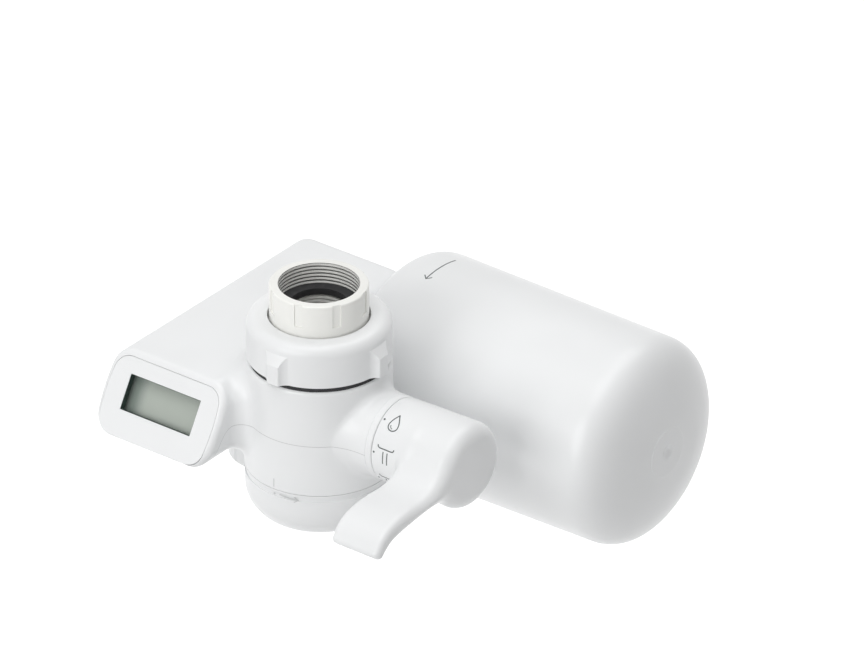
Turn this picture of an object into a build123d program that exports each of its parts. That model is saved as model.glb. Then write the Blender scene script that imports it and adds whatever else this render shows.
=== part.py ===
"""Faucet mount water filter: a threaded adapter and clamp nut, a body with a three-way lever valve,
a display arm, and a filter cartridge that locks in beside the body.

Millimetres. The origin is the centre of the adapter's top rim, +Z is up along the adapter's thread,
+X points along the lever's axis and the cartridge, and -Y is the front, where the display is.
Heights called _H are measured from the foot of the main body, and up() turns them into Z.
"""
from build123d import *
import math
import os

# Clearances
RUN = 0.05            # radial running clearance of a turning fit
SLIP = 0.2            # clearance of a piece that drops into a recess

# Main body, a slightly tapered round column
SEAM_H = 15.8         # where the turning bottom cap meets the body
SEAM_GAP = 0.15
SHOULDER_ABOVE_ARM = 4.8   # part of the body that shows above the display arm
FOOT_R = 21.3         # radius at the bottom cap's seam
SHOULDER_R = 20.5     # radius at the shoulder
SHOULDER_ROUND = 1.2
WALL = 2.2            # wall of the two shells
PARTING_BELOW_LEVER = 0.5  # the shells part just below the lever's axis

# Tap joint
NUT_GAP = 1.5         # shadow gap between the shoulder and the clamp nut
NUT_TALL = 12.5
NUT_R = 20.5
NUT_ROUND = 3.2
PAD_COUNT = 4
PAD_REACH = 1.9       # how far a grip pad stands out of the ring
PAD_CREST = 1.8       # half width of its flat
PAD_FOOT = 4.6        # half width where its hollow flanks meet the ring
PAD_TALL = 5.8        # upright part of a pad
PAD_SLANT = 3.1       # height of its slanted top
PAD_CORNER = 0.5
PAD_TURN = -87.8      # direction of the first pad, in degrees from +X
NECK_CLEAR = 0.25     # radial room between the nut and the neck's thread
NUT_LIP = 3.0         # thickness of the lip that holds the adapter's flange
NECK_R = 16.6         # outside of the inlet neck's thread
NECK_RISE = 7.0       # neck above the shoulder
INLET_R = 8.5
GASKET_TALL = 1.6
GASKET_WIDE = 6.7
FLANGE_TALL = 2.3     # flange of the adapter, held under the nut's lip
HOLE_CLEAR = 0.56     # radial gap between the adapter and the nut's hole
RIM_ROUND = 0.5
ADAPTER_R = 14.0
ADAPTER_SHOW = 9.7    # adapter above the nut
THREAD_R = 11.5       # wall of the female thread
THREAD_TALL = 6.4
WASHER_R = 11.9
WASHER_TALL = 2.0
WASHER_BORE_R = 8.2
RECESS_COUNT = 8      # grip recesses round the adapter
RECESS_WIDE = 2.5
RECESS_DEEP = 0.35
RECESS_RISE = 2.8     # plain band below the recesses
RECESS_TURN = 14      # direction of the first recess, in degrees from +X
STRAINER_TALL = 1.4
STRAINER_RIM = 0.6    # thickness of the strainer's rim, let into the neck
STRAINER_LEDGE = 1.0  # the rim is larger than the inlet by this
STRAINER_HOLE_R = 0.6
STRAINER_RINGS = ((2.4, 6), (4.4, 10), (6.4, 14))   # radius and number of holes

# Lever and the valve that it turns
LEVER_DROP = 0.25     # the lever's axis lies this much below the middle of the body
BOSS_SHARE = 0.37615  # boss radius as a share of the body's height
BOSS_END_X = 23.5
FLARE_R_SHARE = 1.4634     # concave flare of the boss towards the body, in boss radii
FLARE_LONG_SHARE = 0.935
BOSS_ROUND_SHARE = 0.2439  # blend at the foot of the flare, in boss radii
COLLAR_WIDE = 2.1
HUB_GAP = 0.2
HUB_END_X = 55.2
HUB_FLARE = 0.5       # the hub is this much larger at its outer end
HUB_ROUND = 4.3
HUB_WALL = 2.2
ARM_LEFT_X = 38.1
ARM_RIGHT_X = 54.7
ARM_THICK = 4.8
ARM_ROUND = 1.9
ARM_TIP_ROUND = 1.5
# The arm's middle line from inside the hub to the tip: forward and up from the axis, in hub radii
ARM_PATH = ((-0.1626, 0.7073), (-0.8537, 0.3821), (-1.4634, -0.0407), (-2.1951, -0.2114),
            (-2.8780, -0.3821), (-3.5285, -0.8374))
ARM_START = (-1, -0.35)    # direction of the line at its start and at the tip
ARM_END = (-0.72, -0.69)
BOSS_WALL = 2.1       # boss around the valve chamber
CHAMBER_WALL = 2.7
NECK_STEP = 3.0       # the column below the neck is smaller by this
CHAMBER_LEFT_X = -13.4
CHAMBER_RIGHT_X = 20.0
SPOOL_LEFT_X = -10.8
STEM_SIDE = 6.4       # square stem of the spool
STEM_NECK_R = 5.0     # round part of the stem, in the collar
SEAL_FROM_END = 2.6   # the spool's first seal, from the chamber's open end
SEAL_STEP = 3.4       # from one spool seal to the next
SPOOL_END_ROOM = 0.6
CROSS_BORE_R = 2.4    # port that stands at 45 degrees to the main one
COLLAR_ROUND = 0.3
HUB_SEAT = 1.2        # depth of the hub's round seat for the stem's neck
HUB_SKIN = 1.0
STEM_ROOM = 0.3       # room past the stem's end
STEM_END_X = 44.0
SPIGOT_R = 14.0       # round stub that reaches down into the bottom cap
SPIGOT_H = 14.0       # its lower end
STREAM_BORE_R = 3.0
SHOWER_BORE_R = 1.6
SHOWER_BORE_X = 5.6

# Bottom cap, turned to free it for cleaning
CAP_CORNER_TALL = 10.0
CAP_CORNER_WIDE = 8.9
CAP_SKIN = 1.0        # wall at the middle of the rounded corner
CAP_BAND_DEEP = 0.25  # shallow grip band under the seam
CAP_BAND_LOW = 2.2    # the band's edges, measured down from the seam
CAP_BAND_HIGH = 0.7
CAP_BAND_TURN = -52   # middle of the band, in degrees from +X
CAP_COLLAR_TALL = 4.6 # part of the cap that reaches up inside the lower shell
CAP_SEAL_WIDE = 1.6
CAP_CLEAR = 0.3       # radial room between the cap's collar and the lower shell
SPIGOT_GROOVE = 0.6   # depth of the seal's groove in the spigot
SEAL_SQUEEZE = 0.55
SEAL_RISE = 2.0       # plain end of the spigot below the groove
CAP_BORE_SHARE = 0.6  # the wide bore starts at this share of the corner's height
CAP_WEB = 0.6
SHOWER_LEDGE = 0.8    # lip that the shower plate rests on
SHOWER_R = 11.4
SHOWER_THICK = 1.4
SHOWER_SEAT = 1.0
SHOWER_HOLE_R = 0.45
SHOWER_RINGS = ((6.8, 12), (8.6, 16), (10.0, 20))   # radius and number of holes
NOZZLE_R = 4.6
NOZZLE_WALL = 1.0
NOZZLE_TALL = 11.5
NOZZLE_LOW_H = 0.3
NOZZLE_FLANGE_WIDE = 1.4
NOZZLE_FLANGE_TALL = 1.2

# Display arm, a long box beside the body with a front that leans back
ARM_BOX_RIGHT_X = -14.0
ARM_BOX_WIDE = 41.6
ARM_RISE = 4.9        # the arm's underside above the body's seam
ARM_BOX_TALL = 23.0
ARM_BEHIND = 7.0      # the arm's back behind the cartridge's axis
ARM_BOX_BULGE = 1.5
ARM_BOX_CORNER = 6.5
ARM_BOX_WALL = 2.4
BACK_ROUND = 4.0
JOIN_ROUND = 4.5      # concave blend between the arm and the body
FACE_Y = -28.8        # middle of the leaning face
FACE_LEAN = 30.7      # degrees from upright
FACE_WALL = 3.6
FACE_ROUND = 2.0
FRAME_DEEP = 4.0      # front frame that belongs to the upper shell
FRAME_CORNER = 3.0
BEZEL_SIDE = 1.75     # frame that shows beside the front panel
BEZEL_RIM = 1.92      # frame that shows above and below it
BEZEL_THICK = 2.0
BEZEL_BULGE = 1.2
BEZEL_CORNER = 5.0
WINDOW_SIDE = 6.5     # panel beside the window
WINDOW_RIM = 6.2      # panel above and below it
PANE_HOLD_WIDE = 2.75 # how far the pane reaches behind the panel
PANE_HOLD_TALL = 2.05
PANE_THICK = 1.2
PANE_TO_LCD = 0.1
LCD_INSET_WIDE = 0.8  # the display is smaller than the pane
LCD_INSET_TALL = 0.6
LCD_THICK = 1.6
STRIP_TALL = 1.6      # rubber contact strips between the display and the board
STRIP_THICK = 2.0
STRIP_SHORT = 3.0     # the strips are this much shorter than the display
STRIP_PLACES = (0.8, -0.08)   # up the slope, as shares of the room
BOARD_BESIDE = 2.0    # board beside the display
BOARD_ABOVE = 1.5     # board above and below it
BOARD_THICK = 1.2
BOARD_PART_INSET = 3.4
# Parts on the back of the board: side, place up the slope, width, height, thickness
BOARD_PARTS = ((-1, 4.6, 4.4, 4.4, 1.0), (1, 6.4, 2.4, 4.0, 1.4), (1, 0.6, 3.0, 2.0, 0.9))
BOARD_SHIFT = 3.4     # the board sits this much further up the slope than the display
CELL_INSET = 0.2      # the cell is this much smaller than the board
CELL_THICK = 3.2
CELL_SHIFT = 5.0
CLIP_WALL = 0.5
CLIP_WIDE = 4.0
CLIP_FOOT_WIDE = 5.0
CLIP_ROOM = 0.1
CLIP_INSET = 2.0      # the foot plate is this much shorter than the cell at each side

# Filter cartridge, a tapered drum along X that turns to lock
CART_Y = 54.3
CART_H = 21.3
CART_LEFT_X = -13.4
CART_RIGHT_R = 30.9
CART_TAPER = 0.9      # the locked end is larger by this
CART_SHOULDER = 8.4   # rounding at the locked end
CART_DOME = 13.5      # length of the domed end
CART_WALL = 2.0
DIMPLE_R = 2.4
DIMPLE_DEEP = 0.7
DOME_ROOM = 3.4       # room between the media and the start of the dome
DOME_POWER = 2.5      # the dome is a superellipse of this power
BASE_THICK = 5.0
BARREL_ROUND = 3.0
NIPPLE_R = 8.0        # bore of the socket; the cartridge's nipple runs in it
NIPPLE_LONG = 18.0
NIPPLE_END_ROOM = 0.4
NIPPLE_BORE_R = 3.0
LUG_R = 12.6
LUG_REACH = 1.4
LUG_LONG = 2.4
LUG_COUNT = 3
LUG_WIDE = 9.0
LUG_ENTRY_ROOM = 0.8  # room at each side of a lug in its entry
LUG_ROOM = 0.3        # clearance round the lugs
LUG_TURN = 45         # degrees from entry to lock
COLLAR_WALL = 1.8     # wall of the cartridge's lug collar
COLLAR_LONG = 7.0
LUG_FROM_END = 6.8    # the lugs' left side, from the cartridge's end
NIPPLE_SEALS = (0.6111, 0.9167)   # places of the seals as shares of the nipple's length
BARREL_R = 18.5       # round rear of the shells that holds the socket
BARREL_LEFT_X = -46.0
SOCKET_END = 2.6      # wall at the closed end of the socket
SEAL_THICK = 1.6
MEDIA_SLIP = 0.5      # radial room round the fleece
CARBON_CORE_R = 14.0
CARBON_LONG = 70.0
FLEECE_THICK = 1.4
MEDIA_CAP_THICK = 1.6
CASE_SLOT_WIDE = 3.0
FIBRE_RIBS = 18
FIBRE_RIB_R = 1.6
FIBRE_RIB_SHOW = 0.5
FIBRE_END_ROOM = 1.0
POTTING_LEFT = 1.0    # the resin starts this far into the case
FIBRE_R = 11.6
POTTING_LONG = 7.0
CASE_WALL = 1.2

# Filtered water outlet below the arm, and the flow meter above it
OUT_FROM_PIPE = 3.7   # the outlet's axis, to the right of the filtered pipe
OUT_Y = 20.9
OUT_R = 12.1
OUT_LOW_H = -4.7
OUT_GROOVES = 12
OUT_GROOVE_R = 0.8
OUT_GROOVE_OUT = 0.2  # the grooves' centres lie this far outside the sleeve
OUT_GROOVE_END = 3.0  # plain band above the grooves
OUT_ROUND = 2.0
OUT_SEAT_TALL = 9.0   # upper bore, which takes the meter's pipe
OUT_FLOOR = 3.2       # the straightener's seat above the foot
OUT_ROOM_WALL = 3.4   # wall round the straightener
OUT_LIP_WALL = 5.6    # wall round the mouth
STAR_WALL = 1.5
STAR_RING_TALL = 1.0
STAR_TALL = 6.0
STAR_BLADE = 0.9
STAR_CLEAR = 0.1      # radial room round the straightener
OUT_RING_GAP = 0.3    # between the meter's pipe and the rubber ring
OUT_RING_R = 0.9
OUT_BORE_R = 7.4
METER_R = 6.9
METER_WALL = 1.2
METER_TALL = 6.6
METER_LID_THICK = 1.2
METER_PIPE_LONG = 6.0
METER_STEP = 1.4      # ledge at the foot of the cup
METER_FLOOR = 1.0
METER_CROSS = 1.2
METER_HUB_R = 1.5
SPIGOT_PIPE_R = 7.0
TURBINE_R = 4.9
TURBINE_TALL = 3.6
TURBINE_BLADES = 6
TURBINE_BLADE = 0.7
TURBINE_HUB_R = 1.8
TURBINE_RISE = 1.5    # the turbine above the meter's floor
TURBINE_PITCH = 35    # slant of the blades, in degrees
PIN_R = 0.6
PIN_SEAT = 1.0        # depth of the pin's seat in the lid
PIN_ROOM = 0.1
PIPE_R = 3.4
PIPE_BORE_R = 2.3
PIPE_BEND = 4.0
PIPE_SEAT = 1.1       # how far a pipe enters its seat
PIPE_SEAT_WALL = 1.2
PIPE_STOP = 1.2       # wall between the valve's chamber and the end of its pipe
RAW_SEAT_LONG = 5.0   # the raw pipe's seat on the socket
RAW_SEAT_ROOT = 1.24  # how far its foot reaches into the socket
PIPE_DROP = 1.9       # straight run of the filtered pipe above the meter's lid
RAW_PIPE_LEFT = 7.8   # the raw pipe's axis, to the left of the cartridge's end

# Screws that hold the two shells together
SCREW_FROM_SIDE = 6.6
SCREW_FROM_FILTERED = 10.6
SCREW_FROM_RAW = 11.8
SCREW_YS = (34.0, 4.0, 1.0)
SCREW_SLOT = (3.2, 0.7, 1.6)
SCREW_R = 1.2
SCREW_HEAD_R = 2.5
SCREW_HEAD_TALL = 2.0
SCREW_LONG = 16.0
POST_R = 3.2
COUNTERBORE = 1.0

# Sizes that follow
ARM_BOX_LOW_H = SEAM_H + ARM_RISE
SHOULDER_H = ARM_BOX_LOW_H + ARM_BOX_TALL + SHOULDER_ABOVE_ARM
LEVER_H = (SEAM_H + SHOULDER_H) / 2 - LEVER_DROP
PARTING_H = LEVER_H - PARTING_BELOW_LEVER
BOSS_R = BOSS_SHARE * (SHOULDER_H - SEAM_H)
FLARE_R = FLARE_R_SHARE * BOSS_R
FLARE_LONG = FLARE_LONG_SHARE * BOSS_R
BOSS_ROUND = BOSS_ROUND_SHARE * BOSS_R
HUB_R = BOSS_R
CHAMBER_R = BOSS_R - BOSS_WALL
SPOOL_R = CHAMBER_R - CHAMBER_WALL
NUT_LOW_H = SHOULDER_H + NUT_GAP
NUT_TOP_H = NUT_LOW_H + NUT_TALL
RIM_H = NUT_TOP_H + ADAPTER_SHOW
NECK_TOP_H = SHOULDER_H + NECK_RISE
GASKET_TOP_H = NECK_TOP_H + GASKET_TALL
FLANGE_TOP_H = GASKET_TOP_H + FLANGE_TALL
NUT_HOLE_R = ADAPTER_R + HOLE_CLEAR
ARM_BOX_X = ARM_BOX_RIGHT_X - ARM_BOX_WIDE / 2
ARM_BOX_LEFT_X = ARM_BOX_RIGHT_X - ARM_BOX_WIDE
ARM_BOX_BACK_Y = CART_Y + ARM_BEHIND
BEZEL_WIDE = ARM_BOX_WIDE - 2 * BEZEL_SIDE
BEZEL_TALL = ARM_BOX_TALL / math.cos(math.radians(FACE_LEAN)) - 2 * BEZEL_RIM
WINDOW_WIDE = BEZEL_WIDE - 2 * WINDOW_SIDE
WINDOW_TALL = BEZEL_TALL - 2 * WINDOW_RIM
PANE_WIDE = WINDOW_WIDE + 2 * PANE_HOLD_WIDE
PANE_TALL = WINDOW_TALL + 2 * PANE_HOLD_TALL
LCD_WIDE = PANE_WIDE - 2 * LCD_INSET_WIDE
LCD_TALL = PANE_TALL - 2 * LCD_INSET_TALL
BOARD_WIDE = LCD_WIDE + 2 * BOARD_BESIDE
BOARD_TALL = LCD_TALL + 2 * BOARD_ABOVE
CELL_R = BOARD_TALL / 2 - CELL_INSET
PANE_DEPTH = BEZEL_THICK
LCD_DEPTH = PANE_DEPTH + PANE_THICK + PANE_TO_LCD
STRIP_DEPTH = LCD_DEPTH + LCD_THICK
BOARD_DEPTH = STRIP_DEPTH + STRIP_THICK
CELL_DEPTH = BOARD_DEPTH + BOARD_THICK + CLIP_WALL
ARM_BOX_MID_H = ARM_BOX_LOW_H + ARM_BOX_TALL / 2
HUB_LEFT_X = BOSS_END_X + COLLAR_WIDE + HUB_GAP
COLLAR_R = CHAMBER_R - SLIP
SPOOL_RUN_R = SPOOL_R - RUN
BODY_CAVITY_R = SHOULDER_R - WALL
CAP_COLLAR_R = BODY_CAVITY_R - CAP_CLEAR
SEAL_GROOVE_R = SPIGOT_R - SPIGOT_GROOVE
CAP_BORE_R = SPIGOT_R + CAP_SEAL_WIDE - SEAL_SQUEEZE
BARREL_CAVITY_R = BARREL_R - WALL
SOCKET_R = BARREL_CAVITY_R - SLIP
SOCKET_LEFT_X = CART_LEFT_X - NIPPLE_LONG - NIPPLE_END_ROOM - SOCKET_END
FILTERED_PIPE_X = SOCKET_LEFT_X - PIPE_BEND
OUT_X = FILTERED_PIPE_X + OUT_FROM_PIPE
RAW_PIPE_X = CART_LEFT_X - RAW_PIPE_LEFT
CART_LEFT_R = CART_RIGHT_R + CART_TAPER
CARBON_R = CART_RIGHT_R - CART_WALL - MEDIA_SLIP - FLEECE_THICK
CASE_R = CARBON_CORE_R - SLIP
MEDIA_LEFT_X = CART_LEFT_X + BASE_THICK + CASE_WALL
CART_RIGHT_X = MEDIA_LEFT_X + CARBON_LONG + MEDIA_CAP_THICK + DOME_ROOM + CART_DOME
METER_LOW_H = ARM_BOX_LOW_H + ARM_BOX_WALL
METER_TOP_H = METER_LOW_H + METER_TALL
FILTERED_PIPE_H = METER_TOP_H + METER_LID_THICK + PIPE_BEND + PIPE_DROP
RAW_SEAT_Y = CART_Y - math.sqrt(SOCKET_R ** 2 - (LEVER_H - CART_H) ** 2) + RAW_SEAT_ROOT
SCREW_XS = (
    FILTERED_PIPE_X - SCREW_FROM_FILTERED, ARM_BOX_LEFT_X + SCREW_FROM_SIDE, RAW_PIPE_X - SCREW_FROM_RAW)
SCREW_SPOTS = tuple(zip(SCREW_XS, SCREW_YS))
SPOOL_GROOVE_XS = (CHAMBER_RIGHT_X - SEAL_FROM_END, CHAMBER_RIGHT_X - SEAL_FROM_END - SEAL_STEP)
NIPPLE_GROOVE_XS = tuple(CART_LEFT_X - share * NIPPLE_LONG for share in NIPPLE_SEALS)

BASE = (Align.CENTER, Align.CENTER, Align.MIN)
BELOW = (Align.CENTER, Align.CENTER, Align.MAX)
FACE_OUT = Vector(0, -math.cos(math.radians(FACE_LEAN)), math.sin(math.radians(FACE_LEAN)))


def up(height):
    """Z of a height that is measured from the foot of the main body."""
    return height - RIM_H


FACE = Plane(origin=(ARM_BOX_X, FACE_Y, up(ARM_BOX_MID_H)), x_dir=(1, 0, 0), z_dir=FACE_OUT)


def post(radius, low, high, x=0.0, y=0.0):
    """Upright cylinder between two heights."""
    return Pos(x, y, up(low)) * Cylinder(radius, high - low, align=BASE)


def bar(radius, left, right, y=0.0, height=LEVER_H):
    """Cylinder along X between two places."""
    return Pos(left, y, up(height)) * Rot(0, 90, 0) * Cylinder(radius, right - left, align=BASE)


def cartridge_bar(radius, left, right):
    """Cylinder on the cartridge's axis."""
    return bar(radius, left, right, CART_Y, CART_H)


def turned(points):
    """Solid turned about Z from (radius, height) points."""
    outline = [(radius, up(height)) for radius, height in points]
    return revolve(Plane.XZ * make_face(Polyline(*outline, close=True)), Axis.Z)


def about_x(face, y=0.0, height=LEVER_H):
    """Solid turned about an axis along X from a face drawn in (x, radius)."""
    axis = Axis((0, y, up(height)), (1, 0, 0))
    plane = Plane(origin=(0, y, up(height)), x_dir=(1, 0, 0), z_dir=(0, -1, 0))
    return revolve(plane * face, axis)


def ring_seal(ring_r, thick, spot):
    """Rubber ring of round section whose axis is the spot's Z."""
    return spot * Torus(ring_r, thick / 2)


def facing_x(x, y, height):
    """Spot on an axis along X."""
    return Pos(x, y, up(height)) * Rot(0, 90, 0)


def edges_where(shape, test, straight=False):
    """Edges of the shape on which every sampled point passes the test; straight ones only if asked for."""
    spots = (0.05, 0.3, 0.5, 0.7, 0.95)
    chosen = [edge for edge in shape.edges() if straight or edge.geom_type != GeomType.LINE]
    return [edge for edge in chosen if all(test(edge.position_at(spot)) for spot in spots)]


# Tap joint

def tap_adapter():
    """Cream ring: a female thread at the top, a flange for the nut at the foot, recesses round the rim."""
    washer_h = RIM_H - THREAD_TALL - WASHER_TALL
    ring = turned([
        (INLET_R, GASKET_TOP_H), (NECK_R, GASKET_TOP_H), (NECK_R, FLANGE_TOP_H),
        (ADAPTER_R, FLANGE_TOP_H), (ADAPTER_R, RIM_H), (THREAD_R, RIM_H),
        (THREAD_R, RIM_H - THREAD_TALL), (WASHER_R, RIM_H - THREAD_TALL),
        (WASHER_R, washer_h), (INLET_R, washer_h),
    ])
    rim = edges_where(ring, lambda p: abs(p.Z) < 0.01 and math.hypot(p.X, p.Y) > ADAPTER_R - 0.1)
    ring = fillet(rim, RIM_ROUND)
    cutter = Box(2 * RECESS_DEEP, RECESS_WIDE, ADAPTER_SHOW, align=BASE)
    for index in range(RECESS_COUNT):
        turn = 360 / RECESS_COUNT * index + RECESS_TURN
        ring -= Rot(0, 0, turn) * Pos(ADAPTER_R, 0, up(NUT_TOP_H + RECESS_RISE)) * cutter
    return ring


def tap_washer():
    """Flat rubber washer at the bottom of the female thread."""
    low = RIM_H - THREAD_TALL - WASHER_TALL
    high = low + WASHER_TALL
    return post(WASHER_R - SLIP / 2, low, high) - post(WASHER_BORE_R, low - 1, high + 1)


def pad_point(across, rise):
    """Point at a distance round the nut's ring and a height above it."""
    angle = across / NUT_R
    return ((NUT_R + rise) * math.cos(angle), (NUT_R + rise) * math.sin(angle))


def pad_outline():
    """Outline of one grip pad across its axis: a flat crest and hollow flanks that run out into the ring."""
    across = PAD_FOOT - PAD_CREST
    flank_r = (across ** 2 + PAD_REACH ** 2) / (2 * PAD_REACH)
    middle = (PAD_FOOT + PAD_CREST) / 2
    middle_rise = flank_r - math.sqrt(flank_r ** 2 - (PAD_FOOT - middle) ** 2)
    points = [pad_point(PAD_FOOT, -0.1), pad_point(middle, middle_rise), pad_point(PAD_CREST, PAD_REACH)]
    mirrored = [(x, -y) for x, y in points]
    outline = make_face(
        Line((0, 0), points[0]) + ThreePointArc(*points) + Line(points[2], mirrored[2])
        + ThreePointArc(*reversed(mirrored)) + Line(mirrored[0], (0, 0)))
    corners = [vertex for vertex in outline.vertices() if vertex.X > NUT_R + PAD_REACH / 2]
    return fillet(corners, PAD_CORNER)


def clamp_nut():
    """Ring with a rounded top edge and four grip pads whose tops slant back into it."""
    ring = post(NUT_R, NUT_LOW_H, NUT_TOP_H)
    ring = fillet(edges_where(ring, lambda p: p.Z > up(NUT_TOP_H) - 0.01), NUT_ROUND)
    slant_top_h = NUT_LOW_H + PAD_TALL + PAD_SLANT
    far = 2 * PAD_REACH
    below_slant = turned([
        (0, NUT_LOW_H), (NUT_R + far, NUT_LOW_H), (NUT_R + far, slant_top_h - PAD_SLANT * far / PAD_REACH),
        (NUT_R, slant_top_h), (0, slant_top_h)])
    pad = Pos(0, 0, up(NUT_LOW_H)) * extrude(pad_outline(), amount=PAD_TALL + PAD_SLANT)
    pad &= below_slant
    for index in range(PAD_COUNT):
        ring += Rot(0, 0, 360 / PAD_COUNT * index + PAD_TURN) * pad
    ring -= post(NUT_HOLE_R, NUT_LOW_H - 1, NUT_TOP_H + 1)
    return ring - post(NECK_R + NECK_CLEAR, NUT_LOW_H - 1, NUT_TOP_H - NUT_LIP)


def inlet_gasket():
    """Flat seal between the adapter's flange and the inlet neck."""
    ring = post(INLET_R + GASKET_WIDE, NECK_TOP_H, GASKET_TOP_H)
    return ring - post(INLET_R, NECK_TOP_H - 1, GASKET_TOP_H + 1)


def inlet_strainer():
    """Thin strainer in the mouth of the inlet, with rings of holes."""
    low = NECK_TOP_H - STRAINER_TALL
    rim_h = NECK_TOP_H - STRAINER_RIM
    disc = post(INLET_R + STRAINER_LEDGE, rim_h, NECK_TOP_H) + post(INLET_R - SLIP, low, rim_h)
    hole = Cylinder(STRAINER_HOLE_R, 4 * STRAINER_TALL)
    for ring_r, count in STRAINER_RINGS:
        for index in range(count):
            disc -= Rot(0, 0, 360 / count * index) * Pos(ring_r, 0, up(low)) * hole
    return disc


# Shells

def arm_section(inset):
    """Section of the display arm across Y: flat top and bottom, bulging sides, round corners."""
    half_wide = ARM_BOX_WIDE / 2 - inset
    edge_wide = half_wide - ARM_BOX_BULGE
    half_tall = ARM_BOX_TALL / 2 - inset
    outline = (
        Line((-edge_wide, half_tall), (edge_wide, half_tall))
        + ThreePointArc((edge_wide, half_tall), (half_wide, 0), (edge_wide, -half_tall))
        + Line((edge_wide, -half_tall), (-edge_wide, -half_tall))
        + ThreePointArc((-edge_wide, -half_tall), (-half_wide, 0), (-edge_wide, half_tall))
    )
    section = make_face(outline)
    return fillet(section.vertices(), ARM_BOX_CORNER - inset)


def arm_form(inset, face_inset):
    """Display arm as a solid, drawn in by the insets from its sides and its leaning face."""
    start = Plane(
        origin=(ARM_BOX_X, ARM_BOX_BACK_Y - inset, up(ARM_BOX_MID_H)), x_dir=(1, 0, 0), z_dir=(0, -1, 0))
    long = ARM_BOX_BACK_Y - FACE_Y + ARM_BOX_TALL
    form = extrude(start * arm_section(inset), amount=long)
    beyond = FACE.offset(-face_inset) * Box(3 * ARM_BOX_WIDE, 3 * ARM_BOX_TALL, 2 * ARM_BOX_TALL, align=BASE)
    return form - beyond


def rounded_arm():
    """Display arm with its front and back edges rounded."""
    form = arm_form(0, 0)
    front = max(form.faces(), key=lambda face: face.center().dot(FACE_OUT))
    form = fillet(front.edges(), FACE_ROUND)
    back = max(form.faces(), key=lambda face: face.center().Y)
    return fillet(back.edges(), BACK_ROUND)


def body_radius(height):
    """Radius of the tapered body at a height."""
    share = (height - SEAM_H) / (SHOULDER_H - SEAM_H)
    return FOOT_R + (SHOULDER_R - FOOT_R) * share


def on_body(point):
    """True on the body's tapered side, clear of the seam and the shoulder."""
    height = point.Z + RIM_H
    near = abs(math.hypot(point.X, point.Y) - body_radius(height)) < 0.03
    return near and SEAM_H + 0.5 < height < SHOULDER_H - SHOULDER_ROUND


def body_form():
    """Tapered round column with a rounded shoulder."""
    column = turned([(0, SEAM_H), (FOOT_R, SEAM_H), (SHOULDER_R, SHOULDER_H), (0, SHOULDER_H)])
    shoulder = edges_where(column, lambda p: p.Z > up(SHOULDER_H) - 0.01)
    return fillet(shoulder, SHOULDER_ROUND)


def boss_form():
    """Round boss for the lever, flaring towards the body with a concave curve."""
    middle = FLARE_LONG / 2
    middle_rise = FLARE_R - math.sqrt(FLARE_R ** 2 - middle ** 2)
    rise = FLARE_R - math.sqrt(FLARE_R ** 2 - FLARE_LONG ** 2)
    start = (BOSS_END_X, BOSS_R)
    end = (BOSS_END_X - FLARE_LONG, BOSS_R + rise)
    outline = (
        Line((0, 0), (BOSS_END_X, 0))
        + Line((BOSS_END_X, 0), start)
        + ThreePointArc(start, (BOSS_END_X - middle, BOSS_R + middle_rise), end)
        + Line(end, (0, 0))
    )
    return about_x(make_face(outline))


def barrel_form():
    """Round rear of the arm that carries the cartridge's socket."""
    barrel = cartridge_bar(BARREL_R, BARREL_LEFT_X, ARM_BOX_RIGHT_X)
    return fillet(edges_where(barrel, lambda p: p.X < BARREL_LEFT_X + 0.01), BARREL_ROUND)


def outer_form():
    """Outside of both shells together."""
    form = body_form() + rounded_arm()
    form = fillet(edges_where(form, lambda p: on_body(p) and p.X < 0), JOIN_ROUND)
    form += boss_form()
    form = fillet(edges_where(form, lambda p: on_body(p) and p.X > 0), BOSS_ROUND)
    return form + barrel_form()


def shell_cavity():
    """Hollow inside both shells, with their large openings."""
    cavity = post(BODY_CAVITY_R, SEAM_H - 1, SHOULDER_H - WALL)
    cavity += arm_form(ARM_BOX_WALL, FACE_WALL)
    cavity += bar(CHAMBER_R + SLIP, 0, BOSS_END_X + 1)
    cavity += cartridge_bar(BARREL_CAVITY_R, BARREL_LEFT_X + WALL, ARM_BOX_RIGHT_X + 1)
    cavity += post(NECK_R + SLIP, SHOULDER_H - WALL - 1, SHOULDER_H + 1)
    cavity += post(SPIGOT_PIPE_R + SLIP, ARM_BOX_LOW_H - 1, ARM_BOX_LOW_H + ARM_BOX_WALL + 1, OUT_X, OUT_Y)
    return cavity


def bezel_outline(grow):
    """Outline of the front panel: bulging sides and round corners."""
    half_wide = BEZEL_WIDE / 2 + grow
    edge_wide = half_wide - BEZEL_BULGE
    half_tall = BEZEL_TALL / 2 + grow
    outline = (
        Line((-edge_wide, half_tall), (edge_wide, half_tall))
        + ThreePointArc((edge_wide, half_tall), (half_wide, 0), (edge_wide, -half_tall))
        + Line((edge_wide, -half_tall), (-edge_wide, -half_tall))
        + ThreePointArc((-edge_wide, -half_tall), (-half_wide, 0), (-edge_wide, half_tall))
    )
    panel = make_face(outline)
    return fillet(panel.vertices(), BEZEL_CORNER)


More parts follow.
